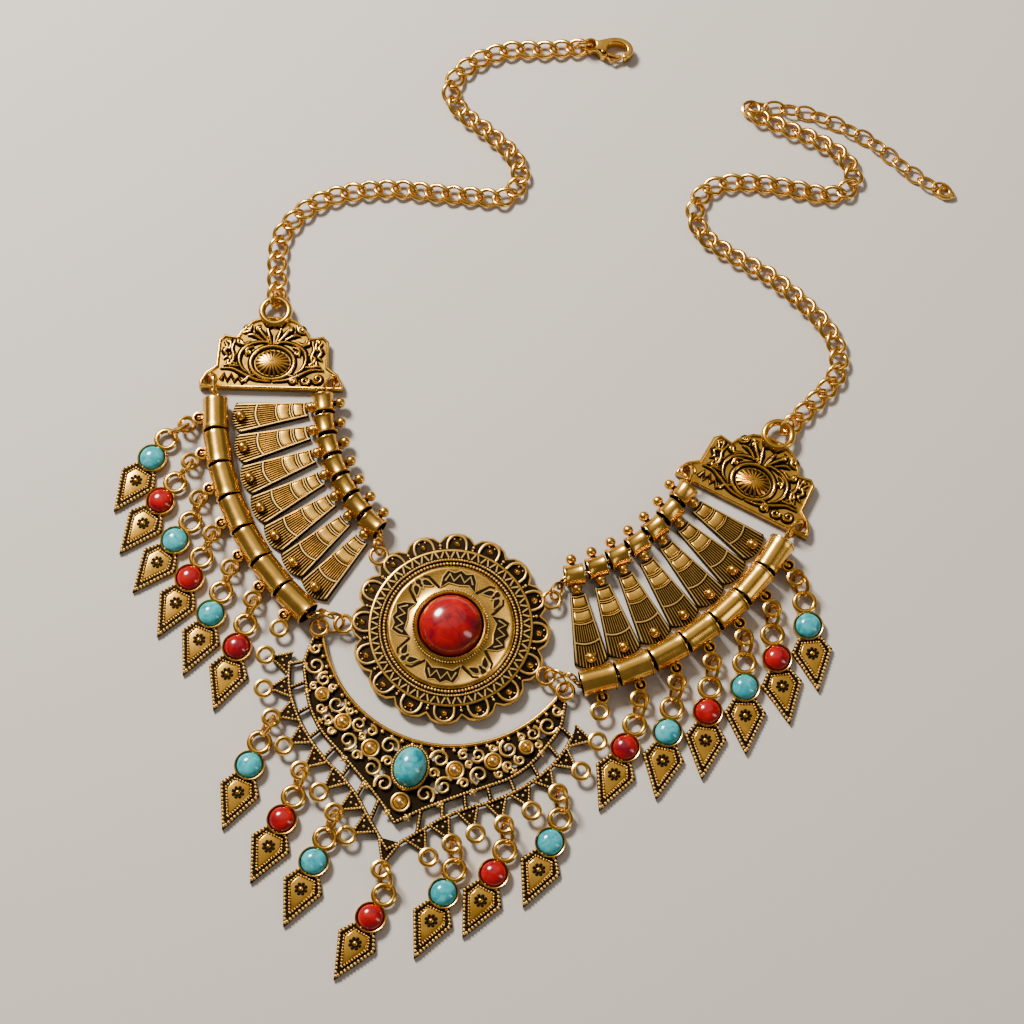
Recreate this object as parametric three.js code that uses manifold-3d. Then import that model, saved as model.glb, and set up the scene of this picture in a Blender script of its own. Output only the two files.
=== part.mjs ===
// Bib necklace, lying flat on its back. Sizes are in millimetres.
// The origin is the middle of the medallion's flat back. X runs across the bib, Y from the crescent
// towards the clasp, Z up from the surface it lies on. The two arms mirror each other; the drops
// and the chains lie as they fell.
import * as THREE from "three";
import { mergeVertices } from "three/addons/utils/BufferGeometryUtils.js";
import Module from "manifold-3d";

const wasm = await Module();
wasm.setup();

// Layout of the two arms: circles round the middle of the neck opening
const NECK_Y = 64;
const OUTER_R = 78.5;
const INNER_R = 50.3;
const FIRST_ANGLE = 18.2;
const STEP_ANGLE = 6.95;
const PER_ARM = 7;
const SPOOL_LAG = 2;

// Tubes of the outer strand, their eyelets and rings
const TUBE_GAP = 0.72;
const TUBE_LENGTH = OUTER_R * STEP_ANGLE * Math.PI / 180 - TUBE_GAP;
const TUBE_WIDE_R = 3.3;
const TUBE_NARROW_R = 3.05;
const TUBE_BORE_R = 2.6;
const EYELET_R = 1.65;
const EYELET_AT = 4.45;
const LOOP_AT = 7.7;
const LOOP_MEAN_R = 1.85;
const LOOP_WIRE_R = 0.5;
const LOOP_Z = 2.3;
const LOOP_DROOP = 1.1;

// Fans with their spools and balls
const SPOOL_LENGTH = 5;
const SPOOL_RIM_R = 2.7;
const SPOOL_WAIST_R = 2.4;
const SPOOL_BORE_R = 2.1;
const BALL_R = 1.35;
const FAN_START = 4.6;
const FAN_CLEARANCE = 5;
const FAN_END = OUTER_R - INNER_R - FAN_CLEARANCE;
const FAN_TIP = 0.6;
const FAN_SHOULDER = 0.9;
const TAIL_BALL_IN = 1.2;
const FAN_NARROW = 3.3;
const FAN_WIDE = 8.2;
const FAN_THICK = 1.7;

// Drops
const JUMP_MEAN_R = 2.6;
const JUMP_WIRE_R = 0.45;
const LINK_TILT = 62;
const JUMP_DIP = 11;
const JUMP_Z = 2.78;
const JUMP_BACK = 0.25;
const TOP_LOOP_MEAN_R = 2.35;
const TOP_LOOP_WIRE_R = 0.55;
const BEZEL_R = 3.85;
const BEZEL_HEIGHT = 1.9;
const CABOCHON_R = 3.1;
const CABOCHON_TOP = 3.7;
const KITE_WIDTH = 10.5;
const KITE_TOP_WIDTH = 5.8;
const KITE_THICK = 1.3;
const TIP_DISTANCE = 17.3;

// How each drop fell, in degrees: the swing of its jump ring, then the turn of its body
const DROPS_LEFT = [[-143, -107.5], [-114, -110], [-90.5, -111.5], [-102, -101], [-97, -97], [-93, -93]];
const DROPS_RIGHT = [[-58.5, -69], [-85, -66.5], [-81, -76], [-87, -81.5], [-94, -86], [-88, -98]];
const DROPS_MIDDLE = [[-107, -96], [-89, -100], [-97, -99], [-59, -105], [-64, -99], [-68, -101],
  [-66, -98]];

// Medallion
const MEDAL_R = 25;
const SCALLOPS = 16;
const SCALLOP_DIP = 2.2;
const MEDAL_THICK = 2.4;
const DISC_R = 15.7;
const STONE_R = 8;
const STONE_SEAT = 3.2;
const STONE_TOP = 8.8;
const FIT_GAP = 0.3;
const MEDAL_LOOP_MEAN_R = 2.2;
const UPPER_LOOP = { r: MEDAL_R + 1.6, angle: 31 };
const SIDE_LOOP = { r: MEDAL_R + 2.1, angle: -13 };

// Crescent: radii from the medallion's middle, at angles below the X axis
const CRESCENT_THICK = 2.3;
const TIP_ANGLE = 18.8;
const INNER_EDGE_R = 30.5;
const INNER_EDGE_RISE = 1.8;
const TIP_WIDTH = 3.1;
const TIP_OUTER_R = INNER_EDGE_R + INNER_EDGE_RISE + TIP_WIDTH;
const SHOULDER_ANGLE = 23;
const SHOULDER_R = 36.9;
const WIRE_WIDTH = 1;
const RUNG_ANGLES = [28, 36, 45, 54, 62, 70, 77, 83.5];
const UPPER_WIRE_R = [37.6, 38.8, 40.4, 41.5, 41.8, 42.8, 44.6, 47.2];
const LOWER_WIRE_R = [41.6, 43.2, 44.3, 45.1, 45.8, 46.6, 48.8, 53];
const POINT_LOWER_R = 58.5;
const POINT_BAND = 7;
const POINT_UPPER_R = POINT_LOWER_R - POINT_BAND;
const CRESCENT_LOOPS = [[10.4, -57.8], [15, -53.1], [20, -49.2], [26.1, -45.2], [31.8, -40.2],
  [36.9, -34.2], [41, -27.4], [43.1, -19]];
const POINT_LOOP = [0, -POINT_LOWER_R - 5.2];
const TOOTH_BASE = 5.4;
const EYES = [[4.9, -32.8, 1.3], [7.4, -40.2, 1.7], [13.6, -30.6, 1.2], [15.9, -35.6, 1.5],
  [21.7, -25.7, 1.2], [24.5, -29.2, 1.3], [29.3, -20.4, 1.2]];
const CUPS = [[10.9, -35.2, 2.4], [19.4, -30.6, 2.3], [26.4, -25, 1.9]];
const MIDDLE_CUP = [0, -46.4, 2.5];
const OVAL_STONE = { y: -37.4, width: 8, height: 10, top: 6.2 };
const TIP_LOOP = [32.1, -8.6];
const TIP_LOOP_MEAN_R = 2.1;

// End plates
const PLATE_MIDDLE_R = (OUTER_R + INNER_R) / 2 + 0.2;
const PLATE_ANGLE = 11.6;
const PLATE_TURN = 13.5;
const PLATE_THICK = 2.3;
const PLATE_OUTLINE = [[18.9, 0], [18.9, 1.4], [17.6, 3.9], [14.9, 6], [14.7, 13.6], [13.4, 14.9],
  [10, 14.3], [9.1, 16.2], [6.2, 19.3], [3, 20.5]];
const BORDER_FOOT_Y = 7;
const PLATE_BORDER = 1.1;
const PLATE_RELIEF = 0.6;
const PLATE_HOLE = [16.2, 2.4, 1.5];
const PLATE_UNDERCUT = 1.5;
const UNDERCUT_SIDE = 8;
const BOSS = { y: 7.2, width: 13, height: 10.4, rise: 1.4 };
const PLATE_RING_Y = 22.1;
const PLATE_RING_Z = 2.45;
const PLATE_RING_MEAN_R = 3.6;
const PLATE_RING_WIRE_R = 0.95;

// Strands inside tubes and spools
const CORE_R = 0.7;
const TUBE_CORE_Z = 1.8;
const SPOOL_CORE_Z = 1.7;
const END_RING_MEAN_R = 2.2;
const END_LINK_Z = 2.42;
const PLATE_LINK_MEAN_R = 2.25;
const PLATE_LINK_Z = 2.64;
const PLATE_LINK_TILT = 71;
const PLATE_LINK_SLACK = -0.45;
const OUTER_CORE_END = [[32.6, -5.1, 4.4], [29.9, -5.9, 5.8]];
const TIP_LINK_MEAN_R = 3.2;
const TIP_LINK_Z = 3.3;

// Chains, each a flat sleeve the size of its curb links, with a real link at its ends
const CHAIN_WIDTH = 5.2;
const CHAIN_HEIGHT = 2.8;
const CHAIN_STEP = 8.5;
const CHAIN_LINK_MEAN_R = 2.2;
const CHAIN_LINK_WIRE_R = 0.55;
const CHAIN_LINK_IN = 1.25;
const CHAIN_LINK_Z = 2.6;
const CHAIN_LINK_TILT = 65;
const CLASP_RING_MEAN_R = 2.3;
const LEFT_RING_MEAN_R = 2.1;
const LEFT_RING_WIRE_R = 0.42;
const LEFT_RING_TILT = 74;
const EXTENDER_WIDTH = 3;
const EXTENDER_HEIGHT = 1.7;
const CHAIN_LEFT = [[-71.2, 84.6], [-73.4, 91], [-72.6, 98.5], [-67.6, 106.5], [-59.7, 112], [-48.5, 116.2],
  [-37, 118], [-26, 119.8], [-18.6, 121.6], [-15.9, 127.5], [-19.2, 134], [-27.5, 139.4], [-36, 143.5],
  [-41, 148.5], [-41, 154.5], [-36.6, 161], [-29, 166.2], [-20.5, 168.6], [-10.9, 171.9]];
const CHAIN_RIGHT = [[76.2, 83.6], [79, 91.5], [78.8, 99.2], [74.5, 105.8], [66.5, 111.7], [56.2, 117.1],
  [45, 120.6], [36.4, 124.4], [32.4, 130.5], [33.8, 137.6], [39.5, 141.6], [48, 143.6], [57.5, 144.4],
  [65.8, 144.8], [70.8, 148.2], [71.2, 153.2], [66.8, 157.9], [59.5, 160.6], [50, 162.2], [42.2, 163.7]];
const CLASP_RING_RIGHT = [39.9, 165.5];
const EXTENDER = [[41.8, 166.6], [48.5, 168], [57, 168.2], [66, 166.6], [75, 163.8], [82.4, 159.8],
  [89.4, 156.4], [95.6, 154.6]];
const EXTENDER_END_TURN = -18;
const EXTENDER_END_THICK = 1.4;
const EXTENDER_END_OUTLINE = [[0, -1.6], [1.7, -2.2], [3.9, -1.3], [4.9, 0], [3.9, 1.3], [1.7, 2.2],
  [0, 1.6]];

// Lobster clasp, drawn from its eye at 0,0 along X
const CLASP_AT = [-7.6, 173.1];
const CLASP_TURN = 6;
const LEFT_RING_SWING = 186;
const CLASP_THICK = 3;
const CLASP_OUTLINE = [[-2.1, 0], [-1.5, 1.5], [0, 2.1], [1.6, 1.6], [3.2, 2.2], [5.6, 3.1], [8, 3.3],
  [10.2, 2.5], [11.6, 0.9], [11.8, -0.9], [10.9, -2.4], [9.6, -3], [9.1, -1.9], [9.9, -1.2], [10.1, 0],
  [9.3, 1.1], [7.8, 1.7], [6, 1.5], [4.9, 0.5], [4.6, -0.9], [5, -2.6], [3.6, -3.2], [2.2, -2.2],
  [1.3, -1.7], [0, -2.1], [-1.5, -1.5]];
const CLASP_EYE_R = 1.4;
const PIVOT = [3.6, -1.6];
const PIVOT_R = 0.45;
const LEVER_THICK = 1.4;
const LEVER_OUTLINE = [[2.5, -1.6], [3, -0.6], [4.1, -0.5], [4.9, -1.2], [7, -1.9], [8.7, -1.7],
  [8.9, -2.7], [7.4, -3.5], [6.2, -4.2], [5.2, -3.4], [4.4, -2.7], [3, -2.6]];

const gold = new THREE.MeshStandardMaterial({ color: 0xb98a3c, roughness: 0.35, metalness: 1 });
const darkGold = new THREE.MeshStandardMaterial({ color: 0x8a6a35, roughness: 0.45, metalness: 1 });
const chainGold = new THREE.MeshStandardMaterial({ color: 0xb07a2c, roughness: 0.35, metalness: 1 });
const redStone = new THREE.MeshStandardMaterial({ color: 0xb5121b, roughness: 0.2, metalness: 0 });

const necklace = new THREE.Group();
const rad = (degrees) => degrees * Math.PI / 180;

// Joining and cutting closed shapes

function solid(geometry) {
  let g = geometry.clone();
  g.deleteAttribute("normal");
  g.deleteAttribute("uv");
  g = mergeVertices(g, 1e-4);
  const index = [];
  for (let i = 0; i < g.index.count; i += 3) {
    const face = [g.index.getX(i), g.index.getX(i + 1), g.index.getX(i + 2)];
    if (face[0] !== face[1] && face[1] !== face[2] && face[2] !== face[0]) index.push(face);
  }
  const at = (i) => new THREE.Vector3().fromBufferAttribute(g.attributes.position, i);
  let volume = 0;
  for (const face of index) volume += at(face[0]).dot(at(face[1]).cross(at(face[2])));
  const triangles = index.map((face) => (volume < 0 ? [face[0], face[2], face[1]] : face)).flat();
  return new wasm.Manifold(new wasm.Mesh({
    numProp: 3,
    vertProperties: new Float32Array(g.attributes.position.array),
    triVerts: new Uint32Array(triangles),
  }));
}

function fuse(pieces, cuts = []) {
  let whole = solid(pieces[0]);
  for (const piece of pieces.slice(1)) whole = whole.add(solid(piece));
  for (const cut of cuts) whole = whole.subtract(solid(cut));
  const bodies = whole.decompose().filter((body) => body.volume() > 0.01);
  return bodies.length === 1 ? bodies[0] : whole;
}

function addPart(name, manifold, material) {
  const mesh = manifold.getMesh();
  const geometry = new THREE.BufferGeometry();
  geometry.setAttribute("position", new THREE.BufferAttribute(new Float32Array(mesh.vertProperties), 3));
  geometry.setIndex(new THREE.BufferAttribute(new Uint32Array(mesh.triVerts), 1));
  geometry.computeVertexNormals();
  const part = new THREE.Mesh(geometry, material);
  part.name = name;
  necklace.add(part);
  return part;
}

// Basic shapes

function move(geometry, x, y, z = 0) {
  return geometry.translate(x, y, z);
}

function ball(r, x, y, z) {
  return move(new THREE.IcosahedronGeometry(r * 1.06, 0), x, y, z);
}

function outline(points) {
  return new THREE.Shape(points.map((p) => new THREE.Vector2(p[0], p[1])));
}

function prism(shape, z0, z1) {
  const g = new THREE.ExtrudeGeometry(shape, { depth: z1 - z0, bevelEnabled: false, curveSegments: 8 });
  return g.translate(0, 0, z0);
}

function circlePoints(x, y, rx, ry, sides, start = 0) {
  const points = [];
  for (let i = 0; i < sides; i += 1) {
    const a = start + 2 * Math.PI * i / sides;
    points.push([x + rx * Math.cos(a), y + ry * Math.sin(a)]);
  }
  return points;
}

function hole(shape, points) {
  const path = points.map((p) => new THREE.Vector2(p[0], p[1]));
  if (THREE.ShapeUtils.isClockWise(path)) path.reverse();
  shape.holes.push(new THREE.Path(path));
}

// Profile points are [radius, height]; the result stands on Z
function spin(profile, sides) {
  const g = new THREE.LatheGeometry(profile.map((p) => new THREE.Vector2(p[0], p[1])), sides);
  return g.rotateX(Math.PI / 2);
}

function flatRing(x, y, z, meanR, wireR, sides = 10, wireSides = 5) {
  return new THREE.TorusGeometry(meanR, wireR, wireSides, sides).translate(x, y, z);
}

// A flat ring with a square section, cast with the piece it is on
function castRing(x, y, z, meanR, halfWire, sides = 8) {
  const shape = outline(circlePoints(x, y, meanR + halfWire, meanR + halfWire, sides));
  hole(shape, circlePoints(x, y, meanR - halfWire, meanR - halfWire, 8));
  return prism(shape, z - halfWire, z + halfWire);
}

// A link that leans: it runs along the heading, dips away from its start and is tilted about its run.
// Its near side goes down through the height of a loop exactly at x,y. far is its other end.
function link(x, y, z, meanR, wireR, heading, tilt = LINK_TILT, dip = 0) {
  const lean = Math.abs(tilt);
  const [st, ct] = [Math.sin(rad(lean)), Math.cos(rad(lean))];
  const [sd, cd] = [Math.sin(rad(dip)), Math.cos(rad(dip))];
  const psi = Math.atan2(sd, st * cd);
  const phi = psi + Math.PI - Math.asin((LOOP_Z - z) / meanR / Math.hypot(st * cd, sd));
  const along = meanR * (Math.cos(phi) * cd + Math.sin(phi) * st * sd);
  const across = Math.sign(tilt) * meanR * Math.sin(phi) * ct;
  const u = [Math.cos(rad(heading)), Math.sin(rad(heading))];
  const middle = [x - u[0] * along + u[1] * across, y - u[1] * along - u[0] * across];
  const ring = new THREE.TorusGeometry(meanR, wireR, 5, 10);
  ring.rotateX(rad(tilt)).rotateY(rad(dip)).rotateZ(rad(heading)).translate(middle[0], middle[1], z);
  return { ring, far: [middle[0] + u[0] * meanR * cd, middle[1] + u[1] * meanR * cd] };
}

function sleeve(points, z, width, height, steps, sides = 8) {
  const path = new THREE.CatmullRomCurve3(points.map((p) => new THREE.Vector3(p[0], p[1], p[2] ?? z)));
  const section = outline(circlePoints(0, 0, height / 2, width / 2, sides, Math.PI / sides));
  return new THREE.ExtrudeGeometry(section, { steps, bevelEnabled: false, extrudePath: path });
}

function armPoint(side, radius, angle) {
  return [side * radius * Math.cos(rad(angle)), NECK_Y - radius * Math.sin(rad(angle))];
}

function placed(geometry, x, y, heading) {
  return geometry.clone().rotateZ(rad(heading)).translate(x, y, 0);
}

// Tube, along X, its outer side towards +Y
function tubeShapes() {
  const half = TUBE_LENGTH / 2;
  const wall = spin([[TUBE_BORE_R, -half], [TUBE_WIDE_R, -half], [TUBE_NARROW_R, half],
    [TUBE_BORE_R, half], [TUBE_BORE_R, -half]], 12);
  wall.rotateY(Math.PI / 2).translate(0, 0, TUBE_WIDE_R);
  const eyelet = spin([[0, 1.3], [EYELET_R, 1.3], [EYELET_R, 2.8], [0, 3.2]], 8);
  eyelet.translate(0, EYELET_AT, 0);
  return [wall, eyelet];
}

// Fan, along +X from the spool's axis
function fanShapes() {
  const half = SPOOL_LENGTH / 2;
  const spool = spin([[SPOOL_BORE_R, -half], [SPOOL_RIM_R, -half], [SPOOL_WAIST_R, 0], [SPOOL_RIM_R, half],
    [SPOOL_BORE_R, half], [SPOOL_BORE_R, -half]], 10);
  spool.rotateX(Math.PI / 2).translate(0, 0, SPOOL_RIM_R);
  const stem = new THREE.CylinderGeometry(0.75, 0.75, 2.1, 5).rotateZ(Math.PI / 2);
  stem.translate(-SPOOL_RIM_R - 0.45, 0, SPOOL_RIM_R);
  const neckBall = ball(BALL_R, -SPOOL_RIM_R - 0.3 - BALL_R, 0, SPOOL_RIM_R);
  const nearBall = ball(BALL_R, SPOOL_RIM_R + 0.75, 0, 2);
  const w = FAN_WIDE / 2;
  const end = FAN_END + FAN_TIP;
  const shoulder = FAN_END - FAN_SHOULDER;
  const fan = prism(outline([[FAN_START, -FAN_NARROW / 2], [shoulder, -w], [end, -w * 0.4], [end, w * 0.4],
    [shoulder, w], [FAN_START, FAN_NARROW / 2]]), 0, FAN_THICK);
  const tailBall = ball(BALL_R, FAN_END - TAIL_BALL_IN, 0, FAN_THICK + 0.7);
  return [spool, stem, neckBall, nearBall, fan, tailBall];
}

const tubeParts = tubeShapes();
const fanParts = fanShapes();

// One drop: its jump ring leans through the loop at x,y and its body hangs off the ring
function dropSolid(x, y, swing, turn) {
  const s = [Math.cos(rad(swing)), Math.sin(rad(swing))];
  const jump = link(x - s[0] * JUMP_BACK, y - s[1] * JUMP_BACK, JUMP_Z, JUMP_MEAN_R, JUMP_WIRE_R, swing,
    LINK_TILT, JUMP_DIP);
  const loopAt = 1.9;
  const loop = castRing(loopAt, 0, 1.4, TOP_LOOP_MEAN_R, TOP_LOOP_WIRE_R);
  const stoneAt = loopAt + TOP_LOOP_MEAN_R + TOP_LOOP_WIRE_R + BEZEL_R - 0.5;
  const setting = spin([[0, 0], [BEZEL_R, 0], [BEZEL_R, BEZEL_HEIGHT], [CABOCHON_R, BEZEL_HEIGHT],
    [CABOCHON_R * 0.72, CABOCHON_TOP - 0.8], [0, CABOCHON_TOP]], 10);
  setting.translate(stoneAt, 0, 0);
  const tip = stoneAt + TIP_DISTANCE;
  const top = stoneAt + BEZEL_R - 1.1;
  const shoulder = top + (tip - top) * 0.25;
  const kite = prism(outline([[top, -KITE_TOP_WIDTH / 2], [shoulder, -KITE_WIDTH / 2], [tip, 0],
    [shoulder, KITE_WIDTH / 2], [top, KITE_TOP_WIDTH / 2]]), 0, KITE_THICK);
  const body = [loop, setting, kite].map((g) => placed(g, jump.far[0], jump.far[1], turn));
  return fuse([jump.ring, ...body]);
}

// The arms
for (const side of [-1, 1]) {
  const label = side < 0 ? "left" : "right";
  const falls = side < 0 ? DROPS_LEFT : DROPS_RIGHT;
  for (let i = 0; i < PER_ARM; i += 1) {
    const angle = FIRST_ANGLE + STEP_ANGLE * i;
    const [tx, ty] = armPoint(side, OUTER_R, angle);
    const outward = side < 0 ? 180 + angle : -angle;
    const [lx, ly] = armPoint(side, OUTER_R + LOOP_AT, angle + LOOP_DROOP);
    const tube = tubeParts.map((g) => placed(g, tx, ty, outward - 90));
    tube.push(castRing(lx, ly, LOOP_Z, LOOP_MEAN_R, LOOP_WIRE_R));
    addPart(`tube_${label}_${i + 1}`, fuse(tube), gold);

    const [sx, sy] = armPoint(side, INNER_R, angle - SPOOL_LAG);
    const [ex, ey] = armPoint(side, INNER_R + FAN_END - TAIL_BALL_IN, angle);
    const heading = Math.atan2(ey - sy, ex - sx) * 180 / Math.PI;
    addPart(`fan_${label}_${i + 1}`, fuse(fanParts.map((g) => placed(g, sx, sy, heading))), darkGold);

    if (i < falls.length) {
      addPart(`drop_${label}_${i + 1}`, dropSolid(lx, ly, falls[i][0], falls[i][1]), gold);
    }
  }
}

// End plates
function platePlace(side) {
  const [x, y] = armPoint(side, PLATE_MIDDLE_R, PLATE_ANGLE);
  const turn = -side * PLATE_TURN;
  const at = (u, v) => {
    const c = Math.cos(rad(turn));
    const s = Math.sin(rad(turn));
    return [x + u * c - v * s, y + u * s + v * c];
  };
  return { x, y, turn, at };
}

function mirrored(points) {
  return [...points, ...points.slice().reverse().map((p) => [-p[0], p[1]])];
}

for (const side of [-1, 1]) {
  const { x, y, turn } = platePlace(side);
  const shape = outline(mirrored(PLATE_OUTLINE));
  hole(shape, circlePoints(PLATE_HOLE[0], PLATE_HOLE[1], PLATE_HOLE[2], PLATE_HOLE[2], 6));
  hole(shape, circlePoints(-PLATE_HOLE[0], PLATE_HOLE[1], PLATE_HOLE[2], PLATE_HOLE[2], 6));
  const slab = prism(shape, 0, PLATE_THICK);
  const border = outline(mirrored(PLATE_OUTLINE.slice(3)));
  const inner = PLATE_OUTLINE.slice(3).map((p) => [p[0] - PLATE_BORDER,
    Math.max(p[1] - PLATE_BORDER, BORDER_FOOT_Y)]);
  hole(border, mirrored(inner));
  const rim = prism(border, PLATE_THICK - 0.5, PLATE_THICK + PLATE_RELIEF);
  const boss = spin([[0, 1], [1, 1], [1, PLATE_THICK + 0.5], [0.6, PLATE_THICK + 1.1],
    [0, PLATE_THICK + BOSS.rise]], 12);
  boss.scale(BOSS.width / 2, BOSS.height / 2, 1).translate(0, BOSS.y, 0);
  const ring = flatRing(0, PLATE_RING_Y, PLATE_RING_Z, PLATE_RING_MEAN_R, PLATE_RING_WIRE_R, 12, 6);
  const undercut = new THREE.BoxGeometry(UNDERCUT_SIDE, UNDERCUT_SIDE, 2 * PLATE_UNDERCUT);
  const cut = (s) => undercut.clone().translate(s * (PLATE_HOLE[0] + 0.8), PLATE_HOLE[1] - 1.4, 0);
  const pieces = [slab, rim, boss, ring].map((g) => placed(g, x, y, turn));
  const cuts = [cut(-1), cut(1)].map((g) => placed(g, x, y, turn));
  addPart(`plate_${side < 0 ? "left" : "right"}`, fuse(pieces, cuts), gold);
}

// Medallion
const rimPoints = [];
for (let i = 0; i < SCALLOPS; i += 1) {
  for (const [share, dip] of [[0, 1], [0.28, 0.1], [0.72, 0.1]]) {
    const a = 2 * Math.PI * (i + share) / SCALLOPS;
    const r = MEDAL_R - SCALLOP_DIP * dip;
    rimPoints.push([r * Math.cos(a), r * Math.sin(a)]);
  }
}
const bezelInner = STONE_R + FIT_GAP;
const medalFace = spin([[0, 1], [20.8, 1], [20.4, 3], [17, 3], [16, 2.3], [DISC_R - 0.5, 3.1],
  [bezelInner + 1.2, 3.3], [bezelInner + 0.9, 4.3], [bezelInner, 4.5], [bezelInner, STONE_SEAT - FIT_GAP],
  [0, STONE_SEAT - FIT_GAP]], 20);
const medalLoops = [UPPER_LOOP, SIDE_LOOP].flatMap((loop) => [-1, 1].map((side) => castRing(
  side * loop.r * Math.cos(rad(loop.angle)), loop.r * Math.sin(rad(loop.angle)), LOOP_Z,
  MEDAL_LOOP_MEAN_R, LOOP_WIRE_R)));
const medalDisc = prism(outline(rimPoints), 0, MEDAL_THICK);
addPart("medallion", fuse([medalDisc, medalFace, ...medalLoops]), darkGold);

const stone = spin([[0, STONE_SEAT], [STONE_R, STONE_SEAT], [STONE_R, 4.6], [STONE_R * 0.88, 6.6],
  [STONE_R * 0.5, 8.3], [0, STONE_TOP]], 20);
addPart("medallion_stone", solid(stone), redStone);

// Crescent
function below(angle, r, side = 1) {
  return [side * r * Math.cos(rad(angle)), -r * Math.sin(rad(angle))];
}

function innerEdge(angle) {
  return INNER_EDGE_R + INNER_EDGE_RISE * ((90 - angle) / (90 - TIP_ANGLE)) ** 2;
}

const half = WIRE_WIDTH / 2;
const innerSide = [90, 80, 70, 60, 50, 40, 30, TIP_ANGLE].map((a) => below(a, innerEdge(a)));
const outerSide = [below(TIP_ANGLE, TIP_OUTER_R), below(SHOULDER_ANGLE, SHOULDER_R + half),
  below(RUNG_ANGLES[0] - 0.8, UPPER_WIRE_R[0] + half), below(RUNG_ANGLES[0] - 0.8, LOWER_WIRE_R[0]),
  ...RUNG_ANGLES.map((a, i) => below(a, LOWER_WIRE_R[i] + half)), below(88.5, POINT_LOWER_R - 0.5)];
const rightHalf = [...innerSide.slice(1), ...outerSide];
const leftHalf = rightHalf.slice().reverse().map((p) => [-p[0], p[1]]);
const crescentShape = outline([innerSide[0], ...rightHalf, ...leftHalf]);
for (const side of [-1, 1]) {
  for (let i = 0; i + 1 < RUNG_ANGLES.length; i += 1) {
    const turn = WIRE_WIDTH / 2 / UPPER_WIRE_R[i] * 180 / Math.PI;
    const a = RUNG_ANGLES[i] + turn;
    const b = RUNG_ANGLES[i + 1] - turn;
    hole(crescentShape, [below(a, UPPER_WIRE_R[i] + half, side), below(a, LOWER_WIRE_R[i] - half, side),
      below(b, LOWER_WIRE_R[i + 1] - half, side), below(b, UPPER_WIRE_R[i + 1] + half, side)]);
  }
  for (const [ex, ey, er] of EYES) hole(crescentShape, circlePoints(side * ex, ey, er, er, 6));
  const last = RUNG_ANGLES.length - 1;
  hole(crescentShape, [below(RUNG_ANGLES[last] + 0.8, UPPER_WIRE_R[last] + half, side),
    below(RUNG_ANGLES[last] + 0.8, LOWER_WIRE_R[last] - half, side), [side * 0.6, -POINT_LOWER_R + 2.4],
    [side * 0.6, -POINT_UPPER_R + 0.2]]);
}
const crescentPieces = [prism(crescentShape, 0, CRESCENT_THICK)];

// The tooth between the lower wire and a loop, and the loop
function toothAndLoop(at, side) {
  const loop = [side * at[0], at[1]];
  let root = [0, 1.5 - POINT_LOWER_R];
  let gap = 1e9;
  const wire = RUNG_ANGLES.map((a, i) => below(a, LOWER_WIRE_R[i], side));
  if (at[0] !== 0) {
    for (let i = 0; i + 1 < wire.length; i += 1) {
      for (let share = 0; share <= 1; share += 0.1) {
        const p = [0, 1].map((k) => wire[i][k] + (wire[i + 1][k] - wire[i][k]) * share);
        const d = Math.hypot(p[0] - loop[0], p[1] - loop[1]);
        if (d < gap) {
          gap = d;
          root = p;
        }
      }
    }
  }
  const length = Math.hypot(loop[0] - root[0], loop[1] - root[1]);
  const out = [(loop[0] - root[0]) / length, (loop[1] - root[1]) / length];
  const base = TOOTH_BASE / 2;
  const reach = length - LOOP_MEAN_R + 0.2;
  const tooth = prism(outline([
    [root[0] - out[1] * base, root[1] + out[0] * base],
    [root[0] + out[0] * reach - out[1] * 0.4, root[1] + out[1] * reach + out[0] * 0.4],
    [root[0] + out[0] * reach + out[1] * 0.4, root[1] + out[1] * reach - out[0] * 0.4],
    [root[0] + out[1] * base, root[1] - out[0] * base]]), 0.6, CRESCENT_THICK);
  return [tooth, castRing(loop[0], loop[1], LOOP_Z, LOOP_MEAN_R, LOOP_WIRE_R, 8)];
}

for (const at of CRESCENT_LOOPS) {
  crescentPieces.push(...toothAndLoop(at, -1), ...toothAndLoop(at, 1));
}
crescentPieces.push(...toothAndLoop(POINT_LOOP, 1));
for (const side of [-1, 1]) {
  crescentPieces.push(castRing(side * TIP_LOOP[0], TIP_LOOP[1], LOOP_Z, TIP_LOOP_MEAN_R, LOOP_WIRE_R));
}
const cup = (r) => spin([[0, 1], [r, 1], [r, CRESCENT_THICK + 0.7], [0, 4]], 8);
for (const [cx, cy, cr] of CUPS) {
  crescentPieces.push(move(cup(cr), cx, cy), move(cup(cr), -cx, cy));
}
crescentPieces.push(move(cup(MIDDLE_CUP[2]), MIDDLE_CUP[0], MIDDLE_CUP[1]));
const oval = spin([[0, 1], [1.14, 1], [1.14, 3.4], [1, 3.4], [0.72, 5.3], [0, OVAL_STONE.top]], 12);
oval.scale(OVAL_STONE.width / 2, OVAL_STONE.height / 2, 1).translate(0, OVAL_STONE.y, 0);
crescentPieces.push(oval);
addPart("crescent", fuse(crescentPieces), darkGold);

const middleLoops = [5, 3, 1].map((i) => [-CRESCENT_LOOPS[i][0], CRESCENT_LOOPS[i][1]]);
middleLoops.push(POINT_LOOP, ...[1, 3, 5].map((i) => CRESCENT_LOOPS[i]));
middleLoops.forEach(([lx, ly], i) => {
  addPart(`drop_middle_${i + 1}`, dropSolid(lx, ly, DROPS_MIDDLE[i][0], DROPS_MIDDLE[i][1]), gold);
});

// Strands: a link at each end, and a core along the arc between them
function linkTowards(from, to, meanR, z, tilt = LINK_TILT, slack = 0) {
  const heading = Math.atan2(to[1] - from[1], to[0] - from[0]);
  const x = from[0] + Math.cos(heading) * slack;
  const y = from[1] + Math.sin(heading) * slack;
  return link(x, y, z, meanR, JUMP_WIRE_R, heading * 180 / Math.PI, tilt);
}

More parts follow.
